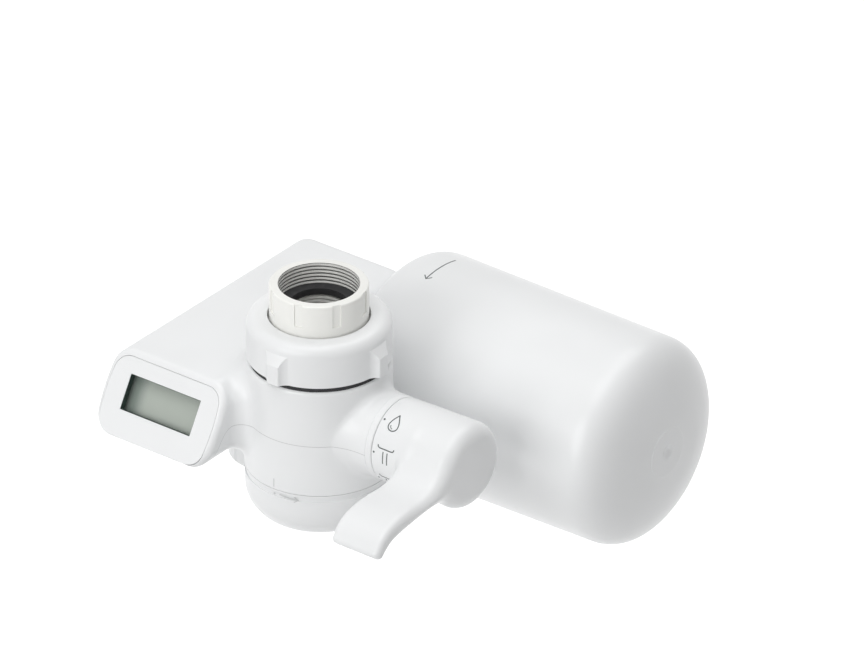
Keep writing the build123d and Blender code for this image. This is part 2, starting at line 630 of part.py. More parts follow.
def shell_pair():
    """Upper and lower shell, cut apart along the parting line and down behind the front frame."""
    whole = outer_form() - shell_cavity()
    whole -= FACE * extrude(bezel_outline(SLIP / 2), amount=-BEZEL_THICK)
    whole -= FACE * Box(PANE_WIDE + SLIP, PANE_TALL + SLIP, 4 * FACE_WALL)
    lean = math.tan(math.radians(FACE_LEAN))
    corner_y = FACE_Y + (PARTING_H - ARM_BOX_MID_H) * lean + FRAME_DEEP / math.cos(math.radians(FACE_LEAN))
    low_h = OUT_LOW_H - 10
    far_y = ARM_BOX_BACK_Y + BARREL_R
    profile = make_face(Polyline(
        (corner_y, up(PARTING_H)), (far_y, up(PARTING_H)), (far_y, up(low_h)),
        (corner_y - (PARTING_H - low_h) * lean, up(low_h)), close=True))
    corner = min(profile.vertices(), key=lambda v: abs(v.X - corner_y) + abs(v.Y - up(PARTING_H)))
    profile = fillet(corner, FRAME_CORNER)
    side = Plane(origin=(0, 0, 0), x_dir=(0, 1, 0), z_dir=(1, 0, 0))
    below = extrude(side * profile, amount=2 * ARM_BOX_WIDE, both=True)
    upper = whole - below
    lower = whole & below
    for x, y in SCREW_SPOTS:
        upper += post(POST_R, PARTING_H, ARM_BOX_LOW_H + ARM_BOX_TALL - ARM_BOX_WALL / 2, x, y)
        lower += post(POST_R, ARM_BOX_LOW_H + ARM_BOX_WALL / 2, PARTING_H, x, y)
    for x, y in SCREW_SPOTS:
        head_h = ARM_BOX_LOW_H + COUNTERBORE + SCREW_HEAD_TALL
        tip_h = ARM_BOX_LOW_H + COUNTERBORE + SCREW_LONG + 0.5
        upper -= post(SCREW_R + RUN, PARTING_H - 1, tip_h, x, y)
        lower -= post(SCREW_R + SLIP, ARM_BOX_LOW_H - 1, PARTING_H + 1, x, y)
        lower -= post(SCREW_HEAD_R + SLIP, ARM_BOX_LOW_H - 1, head_h, x, y)
    return upper, lower


def housing_screws():
    """Pan-head screws, driven from below, as one group."""
    screws = []
    for x, y in SCREW_SPOTS:
        low = ARM_BOX_LOW_H + COUNTERBORE
        screw = post(SCREW_HEAD_R, low, low + SCREW_HEAD_TALL, x, y)
        screw += post(SCREW_R, low + SCREW_HEAD_TALL, low + SCREW_LONG, x, y)
        slot = Box(*SCREW_SLOT)
        screw -= Pos(x, y, up(low)) * (slot + Rot(0, 0, 90) * slot)
        screws.append(screw)
    return Compound(children=screws)


# Valve

def valve_body():
    """Moulded manifold: threaded inlet neck, valve chamber, two-way spigot and filter port."""
    port_left_x = CHAMBER_LEFT_X - PIPE_STOP - PIPE_SEAT
    groove_h = SPIGOT_H + SEAL_RISE
    manifold = post(NECK_R - NECK_STEP, LEVER_H, SHOULDER_H - WALL)
    manifold += post(NECK_R, SHOULDER_H - WALL - NECK_STEP, NECK_TOP_H)
    manifold += bar(CHAMBER_R, CHAMBER_LEFT_X, CHAMBER_RIGHT_X)
    manifold += post(SPIGOT_R, SPIGOT_H, LEVER_H - SPOOL_R)
    manifold += bar(PIPE_R + PIPE_SEAT_WALL, port_left_x, CHAMBER_LEFT_X + 1)
    manifold -= bar(SPOOL_R, SPOOL_LEFT_X - RUN, CHAMBER_RIGHT_X + 1)
    manifold -= post(INLET_R, SHOULDER_H - WALL, NECK_TOP_H + 1)
    manifold -= post(INLET_R + STRAINER_LEDGE + SLIP, NECK_TOP_H - STRAINER_RIM, NECK_TOP_H + 1)
    manifold -= post(STREAM_BORE_R + 1, LEVER_H, SHOULDER_H - WALL + 1)
    manifold -= post(STREAM_BORE_R, SPIGOT_H - 1, LEVER_H)
    for side in (-1, 1):
        manifold -= post(SHOWER_BORE_R, SPIGOT_H - 1, LEVER_H, side * SHOWER_BORE_X, 0)
    manifold -= bar(PIPE_BORE_R, port_left_x - 1, SPOOL_LEFT_X + 1)
    manifold -= bar(PIPE_R + RUN, port_left_x - 1, CHAMBER_LEFT_X - PIPE_STOP)
    groove = post(SPIGOT_R + 1, groove_h, groove_h + CAP_SEAL_WIDE)
    groove -= post(SEAL_GROOVE_R, groove_h - 1, groove_h + CAP_SEAL_WIDE + 1)
    return manifold - groove


def valve_spool():
    """Turning plug with cross ports and a square stem for the lever."""
    plug = bar(SPOOL_RUN_R, SPOOL_LEFT_X, CHAMBER_RIGHT_X - SPOOL_END_ROOM)
    plug += bar(STEM_NECK_R, CHAMBER_RIGHT_X - 1, HUB_LEFT_X + 1)
    stem_long = STEM_END_X - CHAMBER_RIGHT_X
    plug += Pos(CHAMBER_RIGHT_X + stem_long / 2, 0, up(LEVER_H)) * Box(stem_long, STEM_SIDE, STEM_SIDE)
    plug -= bar(PIPE_BORE_R, SPOOL_LEFT_X - 1, STREAM_BORE_R)
    plug -= post(STREAM_BORE_R, LEVER_H, LEVER_H + SPOOL_R + 1)
    plug -= Pos(0, 0, up(LEVER_H)) * Rot(135, 0, 0) * Cylinder(CROSS_BORE_R, SPOOL_R + 1, align=BASE)
    for place in SPOOL_GROOVE_XS:
        groove = bar(SPOOL_R + 1, place - SEAL_THICK / 2 - RUN, place + SEAL_THICK / 2 + RUN)
        groove -= bar(SPOOL_R - SEAL_THICK - 2 * RUN, place - SEAL_THICK, place + SEAL_THICK)
        plug -= groove
    return plug


def spool_seals():
    """Two rubber rings in the spool's grooves."""
    ring_r = SPOOL_R - RUN - SEAL_THICK / 2
    rings = [ring_seal(ring_r, SEAL_THICK, facing_x(place, 0, LEVER_H)) for place in SPOOL_GROOVE_XS]
    return Compound(children=rings)


def collar_ring():
    """Ring at the end of the boss that keeps the spool in its chamber."""
    flange_end = BOSS_END_X + COLLAR_WIDE
    ring = bar(BOSS_R, BOSS_END_X, flange_end) + bar(COLLAR_R, CHAMBER_RIGHT_X, BOSS_END_X + 0.5)
    ring -= bar(STEM_NECK_R + RUN, CHAMBER_RIGHT_X - 1, flange_end + 1)
    rim = edges_where(ring, lambda p: p.X > flange_end - 0.01
                      and math.hypot(p.Y, p.Z - up(LEVER_H)) > BOSS_R - 0.1)
    return fillet(rim, COLLAR_ROUND)


def lever_arm():
    """Arm of the lever: a rounded flat section carried from inside the hub, level, then down to the tip."""
    spots = [(0, ahead * HUB_R, up(LEVER_H + rise * HUB_R)) for ahead, rise in ARM_PATH]
    path = Spline(*spots, tangents=((0, *ARM_START), (0, *ARM_END)))
    start = Plane(origin=path @ 0, x_dir=(1, 0, 0), z_dir=path % 0)
    wide = ARM_RIGHT_X - ARM_LEFT_X
    arm = sweep(start * RectangleRounded(wide, ARM_THICK, ARM_ROUND), path=path)
    tip = min(arm.faces(), key=lambda face: face.center().Y)
    arm = fillet(tip.edges(), ARM_TIP_ROUND)
    return Pos((ARM_LEFT_X + ARM_RIGHT_X) / 2, 0, 0) * arm


def lever():
    """Lever moulded in one: a hollow hub with a square socket, and the arm."""
    outline = make_face(Polyline(
        (HUB_LEFT_X, 0), (HUB_END_X, 0), (HUB_END_X, HUB_R + HUB_FLARE), (HUB_LEFT_X, HUB_R), close=True))
    corner = max(outline.vertices(), key=lambda v: v.X + v.Y)
    whole = about_x(fillet(corner, HUB_ROUND)) + lever_arm()
    hollow_end = HUB_END_X - HUB_ROUND - HUB_SKIN
    hollow = bar(HUB_R - HUB_WALL, HUB_LEFT_X - 1, hollow_end)
    hollow -= bar(STEM_SIDE, HUB_LEFT_X + HUB_SEAT, hollow_end + 1)
    whole -= hollow
    socket_side = STEM_SIDE + 2 * RUN
    socket_long = STEM_END_X + STEM_ROOM - HUB_LEFT_X + 1
    socket = Box(socket_long, socket_side, socket_side)
    socket = Pos(HUB_LEFT_X - 1 + socket_long / 2, 0, up(LEVER_H)) * socket
    return whole - socket - bar(STEM_NECK_R + RUN, HUB_LEFT_X - 1, HUB_LEFT_X + HUB_SEAT)


# Bottom cap

def outlet_cap():
    """Turning bottom cap: rounded foot, a collar that reaches up inside, and a seat for the shower plate."""
    cap_top = SEAM_H - SEAM_GAP
    foot_r = FOOT_R - CAP_CORNER_WIDE
    outer = (
        Line((0, cap_top), (FOOT_R, cap_top))
        + Line((FOOT_R, cap_top), (FOOT_R, CAP_CORNER_TALL))
        + EllipticalCenterArc((foot_r, CAP_CORNER_TALL), CAP_CORNER_WIDE, CAP_CORNER_TALL,
                              start_angle=270, arc_size=90)
        + Line((foot_r, 0), (0, 0))
        + Line((0, 0), (0, cap_top))
    )
    cap = revolve(Plane(origin=(0, 0, -RIM_H), x_dir=(1, 0, 0), z_dir=(0, -1, 0)) * make_face(outer), Axis.Z)
    cap += post(CAP_COLLAR_R, SEAM_H - 1, SEAM_H + CAP_COLLAR_TALL)
    inner_r = FOOT_R - CAP_CORNER_WIDE * math.cos(math.radians(45)) - CAP_SKIN
    seat_h = SHOWER_SEAT + SHOWER_THICK
    bore_h = CAP_CORNER_TALL * CAP_BORE_SHARE
    cap -= post(inner_r, seat_h + CAP_WEB, bore_h + 1)
    cap -= post(CAP_BORE_R, bore_h, SEAM_H + CAP_COLLAR_TALL + 1)
    cap -= post(SHOWER_R + SLIP / 2, SHOWER_SEAT, seat_h + 1)
    cap -= post(SHOWER_R - SHOWER_LEDGE, -1, SHOWER_SEAT + 0.5)
    band = post(FOOT_R + 1, SEAM_H - CAP_BAND_LOW, SEAM_H - CAP_BAND_HIGH)
    band -= post(FOOT_R - CAP_BAND_DEEP, 0, SEAM_H)
    window = Box(2 * FOOT_R, 2 * FOOT_R, SEAM_H, align=(Align.MIN, Align.CENTER, Align.MIN))
    return cap - (band & Pos(0, 0, up(0)) * Rot(0, 0, CAP_BAND_TURN) * window)


def shower_plate():
    """Flat plate of the shower outlet with rings of small holes and a hole for the stream nozzle."""
    top = SHOWER_SEAT + SHOWER_THICK
    plate = post(SHOWER_R, SHOWER_SEAT, top) - post(NOZZLE_R + SLIP / 2, 0, top + 1)
    hole = post(SHOWER_HOLE_R, 0, top + 1)
    for ring_r, count in SHOWER_RINGS:
        for index in range(count):
            plate -= Rot(0, 0, 360 / count * index) * Pos(ring_r, 0, 0) * hole
    return plate


def stream_nozzle():
    """Straight nozzle in the middle of the shower plate, with a collar that sits on it."""
    top = SHOWER_SEAT + SHOWER_THICK
    nozzle = post(NOZZLE_R, NOZZLE_LOW_H, NOZZLE_LOW_H + NOZZLE_TALL)
    nozzle += post(NOZZLE_R + NOZZLE_FLANGE_WIDE, top, top + NOZZLE_FLANGE_TALL)
    return nozzle - post(NOZZLE_R - NOZZLE_WALL, -1, 1 + NOZZLE_TALL)


def outlet_seal():
    """Rubber ring between the spigot and the turning cap."""
    section_r = (CAP_BORE_R - RUN - SEAL_GROOVE_R) / 2
    height = SPIGOT_H + SEAL_RISE + CAP_SEAL_WIDE / 2
    return Pos(0, 0, up(height)) * Torus(SEAL_GROOVE_R + section_r, section_r)


# Display

def display_bezel():
    """White front panel with a sharp window."""
    panel = extrude(bezel_outline(0), amount=-BEZEL_THICK)
    panel -= Box(WINDOW_WIDE, WINDOW_TALL, 4 * BEZEL_THICK)
    return FACE * panel


def on_face(wide, tall, thick, depth, shift=0.0):
    """Plate that lies parallel to the leaning face, its front at the given depth."""
    return FACE * Pos(0, shift, -depth) * Box(wide, tall, thick, align=BELOW)


def display_window():
    """Clear pane behind the front panel."""
    return on_face(PANE_WIDE, PANE_TALL, PANE_THICK, PANE_DEPTH)


def lcd_panel():
    """Glass display panel."""
    return on_face(LCD_WIDE, LCD_TALL, LCD_THICK, LCD_DEPTH)


def contact_strips():
    """Two rubber contact strips between the display panel and the board, as one group."""
    room = LCD_TALL / 2 - STRIP_TALL
    long = LCD_WIDE - STRIP_SHORT
    strips = [on_face(long, STRIP_TALL, STRIP_THICK, STRIP_DEPTH, share * room) for share in STRIP_PLACES]
    return Compound(children=strips)


def circuit_board():
    """Board with its controller and a few small parts on the back."""
    board = on_face(BOARD_WIDE, BOARD_TALL, BOARD_THICK, BOARD_DEPTH, BOARD_SHIFT)
    back = BOARD_DEPTH + BOARD_THICK
    side_x = BOARD_WIDE / 2 - BOARD_PART_INSET
    for side, y, wide, tall, thick in BOARD_PARTS:
        chip = Box(wide, tall, thick, align=BELOW)
        board += FACE * Pos(side * side_x, y, -back) * chip
    return board


def battery_cell():
    """Coin cell that lies on the back of the board, in its clip."""
    return FACE * Pos(0, CELL_SHIFT, -CELL_DEPTH) * Cylinder(CELL_R, CELL_THICK, align=BELOW)


def battery_clip():
    """Sprung metal clip over the coin cell, with a foot plate under it."""
    plate_depth = CELL_DEPTH - CLIP_WALL
    back = CELL_DEPTH + CELL_THICK
    foot = Box(2 * CELL_R - 2 * CLIP_INSET, CLIP_FOOT_WIDE, CLIP_WALL, align=BELOW)
    strap = Box(2 * (CELL_R + CLIP_WALL + CLIP_ROOM), CLIP_WIDE, CLIP_WALL, align=BELOW)
    clip = FACE * Pos(0, CELL_SHIFT, -plate_depth) * foot + FACE * Pos(0, CELL_SHIFT, -back) * strap
    reach = CLIP_INSET + CLIP_ROOM + CLIP_WALL
    leg = Box(CLIP_WALL, CLIP_WIDE, back - plate_depth + CLIP_WALL, align=BELOW)
    toe = Box(reach, CLIP_WIDE, CLIP_WALL, align=BELOW)
    for side in (-1, 1):
        leg_x = side * (CELL_R + CLIP_ROOM + CLIP_WALL / 2)
        toe_x = side * (CELL_R - CLIP_INSET + reach / 2)
        clip += FACE * Pos(leg_x, CELL_SHIFT, -plate_depth) * leg
        clip += FACE * Pos(toe_x, CELL_SHIFT, -plate_depth) * toe
    return clip


# Cartridge

def drum_outline(inset):
    """Half outline of the cartridge, (x, radius): shoulder arc, tapered side, superellipse dome."""
    left = CART_LEFT_X + inset
    right = CART_RIGHT_X - inset
    shoulder = CART_SHOULDER - inset
    left_r = CART_LEFT_R - inset
    right_r = CART_RIGHT_R - inset
    dome = CART_DOME - inset
    slant = math.sin(math.radians(45)) * shoulder
    power = 2 / DOME_POWER
    steps = 9
    dome_points = []
    for index in range(steps + 1):
        angle = math.pi / 2 * index / steps
        along = right - dome + dome * math.sin(angle) ** power
        dome_points.append((along, right_r * math.cos(angle) ** power))
    dome_points[-1] = (right, 0)
    return (
        Line((left, 0), (left, left_r - shoulder))
        + ThreePointArc((left, left_r - shoulder), (left + shoulder - slant, left_r - shoulder + slant),
                        (left + shoulder, left_r))
        + Line((left + shoulder, left_r), dome_points[0])
        + Spline(*dome_points, tangents=((1, 0), (0, -1)))
        + Line((right, 0), (left, 0))
    )


def cartridge_shell():
    """White drum, open at the locked end, with a small dimple in the middle of its dome."""
    drum = about_x(make_face(drum_outline(0)), CART_Y, CART_H)
    drum -= about_x(make_face(drum_outline(CART_WALL)), CART_Y, CART_H)
    mouth_r = CART_LEFT_R - CART_SHOULDER
    drum -= cartridge_bar(mouth_r, CART_LEFT_X - 1, CART_LEFT_X + CART_WALL + 1)
    sphere_r = (DIMPLE_R ** 2 + DIMPLE_DEEP ** 2) / (2 * DIMPLE_DEEP)
    return drum - Pos(CART_RIGHT_X + sphere_r - DIMPLE_DEEP, CART_Y, up(CART_H)) * Sphere(sphere_r)


def cartridge_base():
    """End disc of the cartridge with the nipple and three locking lugs."""
    mouth_r = CART_LEFT_R - CART_SHOULDER
    right = CART_LEFT_X + BASE_THICK
    lug_left = CART_LEFT_X - LUG_FROM_END
    collar_left = CART_LEFT_X - COLLAR_LONG
    nipple_left = CART_LEFT_X - NIPPLE_LONG
    base = cartridge_bar(mouth_r - SLIP / 2, CART_LEFT_X, right)
    base += cartridge_bar(NIPPLE_R - RUN, nipple_left, CART_LEFT_X + 0.5)
    collar = cartridge_bar(LUG_R, collar_left, CART_LEFT_X + 0.5)
    base += collar - cartridge_bar(LUG_R - COLLAR_WALL, collar_left - 1, CART_LEFT_X)
    lug = cartridge_bar(LUG_R + LUG_REACH, lug_left, lug_left + LUG_LONG)
    lug -= cartridge_bar(LUG_R - 0.5, collar_left - 1, CART_LEFT_X)
    wedge = Pos(collar_left - 1, CART_Y, up(CART_H)) * Box(
        COLLAR_LONG + 1, LUG_WIDE, CART_LEFT_R, align=(Align.MIN, Align.CENTER, Align.MIN))
    axis = Axis((0, CART_Y, up(CART_H)), (1, 0, 0))
    for index in range(LUG_COUNT):
        base += lug & wedge.rotate(axis, 360 / LUG_COUNT * index)
    base -= cartridge_bar(NIPPLE_BORE_R, nipple_left - 1, right + 1)
    for place in NIPPLE_GROOVE_XS:
        groove = cartridge_bar(NIPPLE_R + 1, place - SEAL_THICK / 2 - RUN, place + SEAL_THICK / 2 + RUN)
        groove -= cartridge_bar(NIPPLE_R - SEAL_THICK - 2 * RUN, place - SEAL_THICK, place + SEAL_THICK)
        base -= groove
    return base


def cartridge_seals():
    """Two rubber rings on the cartridge's nipple."""
    ring_r = NIPPLE_R - RUN - SEAL_THICK / 2
    rings = [ring_seal(ring_r, SEAL_THICK, facing_x(place, CART_Y, CART_H)) for place in NIPPLE_GROOVE_XS]
    return Compound(children=rings)


def carbon_block():
    """Moulded ring of activated carbon."""
    right = MEDIA_LEFT_X + CARBON_LONG
    block = cartridge_bar(CARBON_R, MEDIA_LEFT_X, right)
    return block - cartridge_bar(CARBON_CORE_R, MEDIA_LEFT_X - 1, right + 1)


def fleece_sleeve():
    """Thin fleece wrapped round the carbon."""
    right = MEDIA_LEFT_X + CARBON_LONG
    sleeve = cartridge_bar(CARBON_R + FLEECE_THICK, MEDIA_LEFT_X, right)
    return sleeve - cartridge_bar(CARBON_R, MEDIA_LEFT_X - 1, right + 1)


def media_cap():
    """Plastic disc that closes the far end of the carbon."""
    left = MEDIA_LEFT_X + CARBON_LONG
    return cartridge_bar(CARBON_R + FLEECE_THICK, left, left + MEDIA_CAP_THICK)


def fibre_case():
    """Perforated tube round the hollow fibres, with a disc on the cartridge's end disc."""
    left = CART_LEFT_X + BASE_THICK
    right = MEDIA_LEFT_X + CARBON_LONG
    case = cartridge_bar(CASE_R, left, right)
    case += cartridge_bar(CARBON_R + FLEECE_THICK, left, left + CASE_WALL)
    case -= cartridge_bar(CASE_R - CASE_WALL, left - 1, right + 1)
    slot = Pos(MEDIA_LEFT_X + CARBON_LONG * 0.6, CART_Y, up(CART_H)) * Box(
        CARBON_LONG / 2, CASE_SLOT_WIDE, 4 * CARBON_CORE_R)
    axis = Axis((0, CART_Y, up(CART_H)), (1, 0, 0))
    for index in range(3):
        case -= slot.rotate(axis, 60 * index)
    return case


def fibre_bundle():
    """Bundle of hollow fibres, as one ribbed solid."""
    left = MEDIA_LEFT_X + POTTING_LONG
    right = MEDIA_LEFT_X + CARBON_LONG - FIBRE_END_ROOM
    bundle = cartridge_bar(FIBRE_R - FIBRE_RIB_SHOW, left, right)
    axis = Axis((0, CART_Y, up(CART_H)), (1, 0, 0))
    rib = bar(FIBRE_RIB_R, left, right, CART_Y, CART_H + FIBRE_R - FIBRE_RIB_R)
    for index in range(FIBRE_RIBS):
        bundle += rib.rotate(axis, 360 / FIBRE_RIBS * index)
    return bundle


def potting_plug():
    """Resin plug that holds the open ends of the fibres."""
    left = MEDIA_LEFT_X - CASE_WALL + POTTING_LEFT
    return cartridge_bar(CASE_R - CASE_WALL, left, MEDIA_LEFT_X + POTTING_LONG)


# Socket, pipes, meter and outlet

def towards_front(x, y, height):
    """Spot on an axis that points to the front."""
    return Plane(origin=(x, y, up(height)), x_dir=(1, 0, 0), z_dir=(0, -1, 0))


def cartridge_socket():
    """Socket for the cartridge: bore for the nipple, lug gallery, raw and filtered ports."""
    right = ARM_BOX_RIGHT_X
    socket = cartridge_bar(SOCKET_R, SOCKET_LEFT_X, right)
    seat_long = RAW_SEAT_LONG + PIPE_SEAT
    socket += towards_front(RAW_PIPE_X, RAW_SEAT_Y, LEVER_H) * Cylinder(
        PIPE_R + PIPE_SEAT_WALL, seat_long, align=BASE)
    lug_room_r = LUG_R + LUG_REACH + LUG_ROOM
    gallery_left = CART_LEFT_X - LUG_FROM_END - 2 * LUG_ROOM
    socket -= cartridge_bar(LUG_R + LUG_ROOM, gallery_left, right + 1)
    socket -= cartridge_bar(lug_room_r, gallery_left, gallery_left + LUG_LONG + 4 * LUG_ROOM)
    wedge = Pos(gallery_left, CART_Y, up(CART_H)) * Box(
        right + 1 - gallery_left, LUG_WIDE + 2 * LUG_ENTRY_ROOM, CART_LEFT_R,
        align=(Align.MIN, Align.CENTER, Align.MIN))
    axis = Axis((0, CART_Y, up(CART_H)), (1, 0, 0))
    entry = cartridge_bar(lug_room_r, gallery_left, right + 1)
    for index in range(LUG_COUNT):
        socket -= entry & wedge.rotate(axis, 360 / LUG_COUNT * index + LUG_TURN)
    socket -= cartridge_bar(NIPPLE_R, CART_LEFT_X - NIPPLE_LONG - NIPPLE_END_ROOM, right)
    socket -= towards_front(RAW_PIPE_X, RAW_SEAT_Y - RAW_SEAT_LONG, LEVER_H) * Cylinder(
        PIPE_R + RUN, RAW_SEAT_LONG, align=BASE)
    raw_port = Cylinder(PIPE_BORE_R, SOCKET_R, align=BASE)
    socket -= towards_front(RAW_PIPE_X, CART_Y - NIPPLE_R, LEVER_H) * raw_port
    socket -= cartridge_bar(PIPE_R + RUN, SOCKET_LEFT_X - 1, SOCKET_LEFT_X + PIPE_SEAT)
    return socket - cartridge_bar(PIPE_BORE_R, SOCKET_LEFT_X, CART_LEFT_X - NIPPLE_LONG)


def pipe(points):
    """Round pipe along straight runs joined by arcs."""
    line = FilletPolyline(*points, radius=PIPE_BEND)
    start = Plane(origin=line @ 0, z_dir=line % 0)
    outside = sweep(start * Circle(PIPE_R), path=line)
    inside = sweep(start * Circle(PIPE_BORE_R), path=line)
    return outside - inside


def raw_pipe():
    """Pipe that takes raw water from the valve to the cartridge's socket."""
    height = up(LEVER_H)
    return pipe([
        (CHAMBER_LEFT_X - PIPE_STOP, 0, height),
        (RAW_PIPE_X, 0, height),
        (RAW_PIPE_X, RAW_SEAT_Y - RAW_SEAT_LONG, height),
    ])


def filtered_pipe():
    """Pipe that takes filtered water from the socket's end over to the flow meter."""
    return pipe([
        (SOCKET_LEFT_X + PIPE_SEAT, CART_Y, up(CART_H)),
        (FILTERED_PIPE_X, CART_Y, up(CART_H)),
        (FILTERED_PIPE_X, CART_Y, up(FILTERED_PIPE_H)),
        (FILTERED_PIPE_X, OUT_Y, up(FILTERED_PIPE_H)),
        (FILTERED_PIPE_X, OUT_Y, up(METER_TOP_H + METER_LID_THICK)),
    ])


def meter_cup():
    """Cup of the flow meter with its outlet pipe and a bearing cross for the turbine's pin."""
    low = METER_LOW_H
    inner_r = METER_R - METER_WALL
    cup = post(METER_R, low, METER_TOP_H, OUT_X, OUT_Y)
    cup += post(SPIGOT_PIPE_R, ARM_BOX_LOW_H - METER_PIPE_LONG, low, OUT_X, OUT_Y)
    cup -= post(inner_r, low + METER_FLOOR, METER_TOP_H + 1, OUT_X, OUT_Y)
    cup -= post(inner_r - METER_STEP, ARM_BOX_LOW_H - METER_PIPE_LONG - 1, low + 2, OUT_X, OUT_Y)
    reach = 2 * (METER_R - METER_WALL / 2)
    spoke = Box(reach, METER_CROSS, METER_FLOOR, align=BASE)
    cup += Pos(OUT_X, OUT_Y, up(low)) * (spoke + Rot(0, 0, 90) * spoke)
    cup += post(METER_HUB_R, low, low + METER_FLOOR, OUT_X, OUT_Y)
    return cup - post(PIN_R, low - 1, low + 2, OUT_X, OUT_Y)


def meter_lid():
    """Lid of the flow meter with the pipe's seat and the turbine's upper bearing."""
    low = METER_TOP_H
    top = low + METER_LID_THICK
    lid = post(METER_R, low, top, OUT_X, OUT_Y)
    lid += post(PIPE_R + PIPE_SEAT_WALL, low, top + PIPE_SEAT, FILTERED_PIPE_X, OUT_Y)
    lid -= post(PIPE_R + RUN, top, top + 2 * PIPE_SEAT, FILTERED_PIPE_X, OUT_Y)
    inside = post(METER_R - METER_WALL, low - 1, low + 2, OUT_X, OUT_Y)
    lid -= post(PIPE_BORE_R, low - 1, low + 2, FILTERED_PIPE_X, OUT_Y) & inside
    lid += post(PIN_R + 0.8, low, top, OUT_X, OUT_Y)
    return lid - post(PIN_R, low - 1, low + PIN_SEAT, OUT_X, OUT_Y)


def turbine_pin():
    """Steel pin that the turbine turns on."""
    return post(PIN_R, METER_LOW_H + PIN_ROOM, METER_TOP_H + PIN_SEAT - PIN_ROOM, OUT_X, OUT_Y)


def flow_turbine():
    """Small turbine with slanted blades on a hub."""
    low = METER_LOW_H + TURBINE_RISE
    hub = post(TURBINE_HUB_R, low, low + TURBINE_TALL, OUT_X, OUT_Y)
    root = TURBINE_HUB_R - 0.8
    outward = (Align.MIN, Align.CENTER, Align.CENTER)
    blade = Box(TURBINE_R - root, TURBINE_BLADE, TURBINE_TALL * 1.1, align=outward)
    for index in range(TURBINE_BLADES):
        turn = Pos(OUT_X, OUT_Y, up(low + TURBINE_TALL / 2)) * Rot(0, 0, 360 / TURBINE_BLADES * index)
        hub += turn * Pos(root, 0, 0) * Rot(TURBINE_PITCH, 0, 0) * blade
    hub &= post(TURBINE_R, low, low + TURBINE_TALL, OUT_X, OUT_Y)
    return hub - post(PIN_R + RUN, low - 1, low + TURBINE_TALL + 1, OUT_X, OUT_Y)


def filtered_outlet():
    """Grooved outlet sleeve that hangs below the arm."""
    top = ARM_BOX_LOW_H
    sleeve = post(OUT_R, OUT_LOW_H, top, OUT_X, OUT_Y)
    foot = edges_where(sleeve, lambda p: p.Z < up(OUT_LOW_H) + 0.01)
    sleeve = fillet(foot, OUT_ROUND)
    groove = post(OUT_GROOVE_R, OUT_LOW_H - 1, top - OUT_GROOVE_END, OUT_R + OUT_GROOVE_OUT, 0)
    for index in range(OUT_GROOVES):
        sleeve -= Pos(OUT_X, OUT_Y, 0) * Rot(0, 0, 360 / OUT_GROOVES * (index + 0.5)) * groove
    sleeve -= post(OUT_BORE_R, top - OUT_SEAT_TALL, top + 1, OUT_X, OUT_Y)
    sleeve -= post(OUT_R - OUT_ROOM_WALL, OUT_LOW_H + OUT_FLOOR, top - OUT_SEAT_TALL - 1, OUT_X, OUT_Y)
    return sleeve - post(OUT_R - OUT_LIP_WALL, OUT_LOW_H - 1, top, OUT_X, OUT_Y)


def outlet_straightener():
    """Star-shaped insert that steadies the filtered stream."""
    low = OUT_LOW_H + OUT_FLOOR
    star_r = OUT_R - OUT_ROOM_WALL - STAR_CLEAR
    star = post(star_r, low, low + STAR_RING_TALL, OUT_X, OUT_Y)
    star -= post(star_r - STAR_WALL, low - 1, low + 2, OUT_X, OUT_Y)
    blade = Box(2 * star_r - STAR_WALL, STAR_BLADE, STAR_TALL, align=BASE)
    for index in range(3):
        star += Pos(OUT_X, OUT_Y, up(low)) * Rot(0, 0, 60 * index) * blade
    return star


def outlet_ring():
    """Rubber ring that seals the meter's pipe in the outlet sleeve."""
    height = ARM_BOX_LOW_H - METER_PIPE_LONG - OUT_RING_GAP - OUT_RING_R
    return Pos(OUT_X, OUT_Y, up(height)) * Torus(SPIGOT_PIPE_R - 1.0, OUT_RING_R)


def save_all():
    """Write one STEP file for each piece."""
    os.makedirs("parts", exist_ok=True)
    upper, lower = shell_pair()
    pieces = {
        "tap_adapter": tap_adapter(), "tap_washer": tap_washer(), "clamp_nut": clamp_nut(),
        "inlet_gasket": inlet_gasket(), "inlet_strainer": inlet_strainer(),
        "upper_shell": upper, "lower_shell": lower, "housing_screws": housing_screws(),
        "valve_body": valve_body(), "valve_spool": valve_spool(), "spool_seals": spool_seals(),
        "collar_ring": collar_ring(), "lever": lever(),
        "outlet_cap": outlet_cap(), "shower_plate": shower_plate(), "stream_nozzle": stream_nozzle(),
        "outlet_seal": outlet_seal(),
        "display_bezel": display_bezel(), "display_window": display_window(), "lcd_panel": lcd_panel(),
        "contact_strips": contact_strips(), "circuit_board": circuit_board(),
        "battery_cell": battery_cell(), "battery_clip": battery_clip(),
        "cartridge_shell": cartridge_shell(), "cartridge_base": cartridge_base(),
        "cartridge_seals": cartridge_seals(), "carbon_block": carbon_block(),
        "fleece_sleeve": fleece_sleeve(), "media_cap": media_cap(), "fibre_case": fibre_case(),
        "fibre_bundle": fibre_bundle(), "potting_plug": potting_plug(),
        "cartridge_socket": cartridge_socket(), "raw_pipe": raw_pipe(), "filtered_pipe": filtered_pipe(),
        "meter_cup": meter_cup(), "meter_lid": meter_lid(), "turbine_pin": turbine_pin(),
        "flow_turbine": flow_turbine(), "filtered_outlet": filtered_outlet(),
        "outlet_straightener": outlet_straightener(), "outlet_ring": outlet_ring(),
    }
    for name, shape in pieces.items():
        export_step(shape, "parts/" + name + ".step")


if __name__ == "__main__":
    save_all()
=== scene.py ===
import math

import bmesh
import bpy
import numpy as np
from mathutils import Matrix, Vector


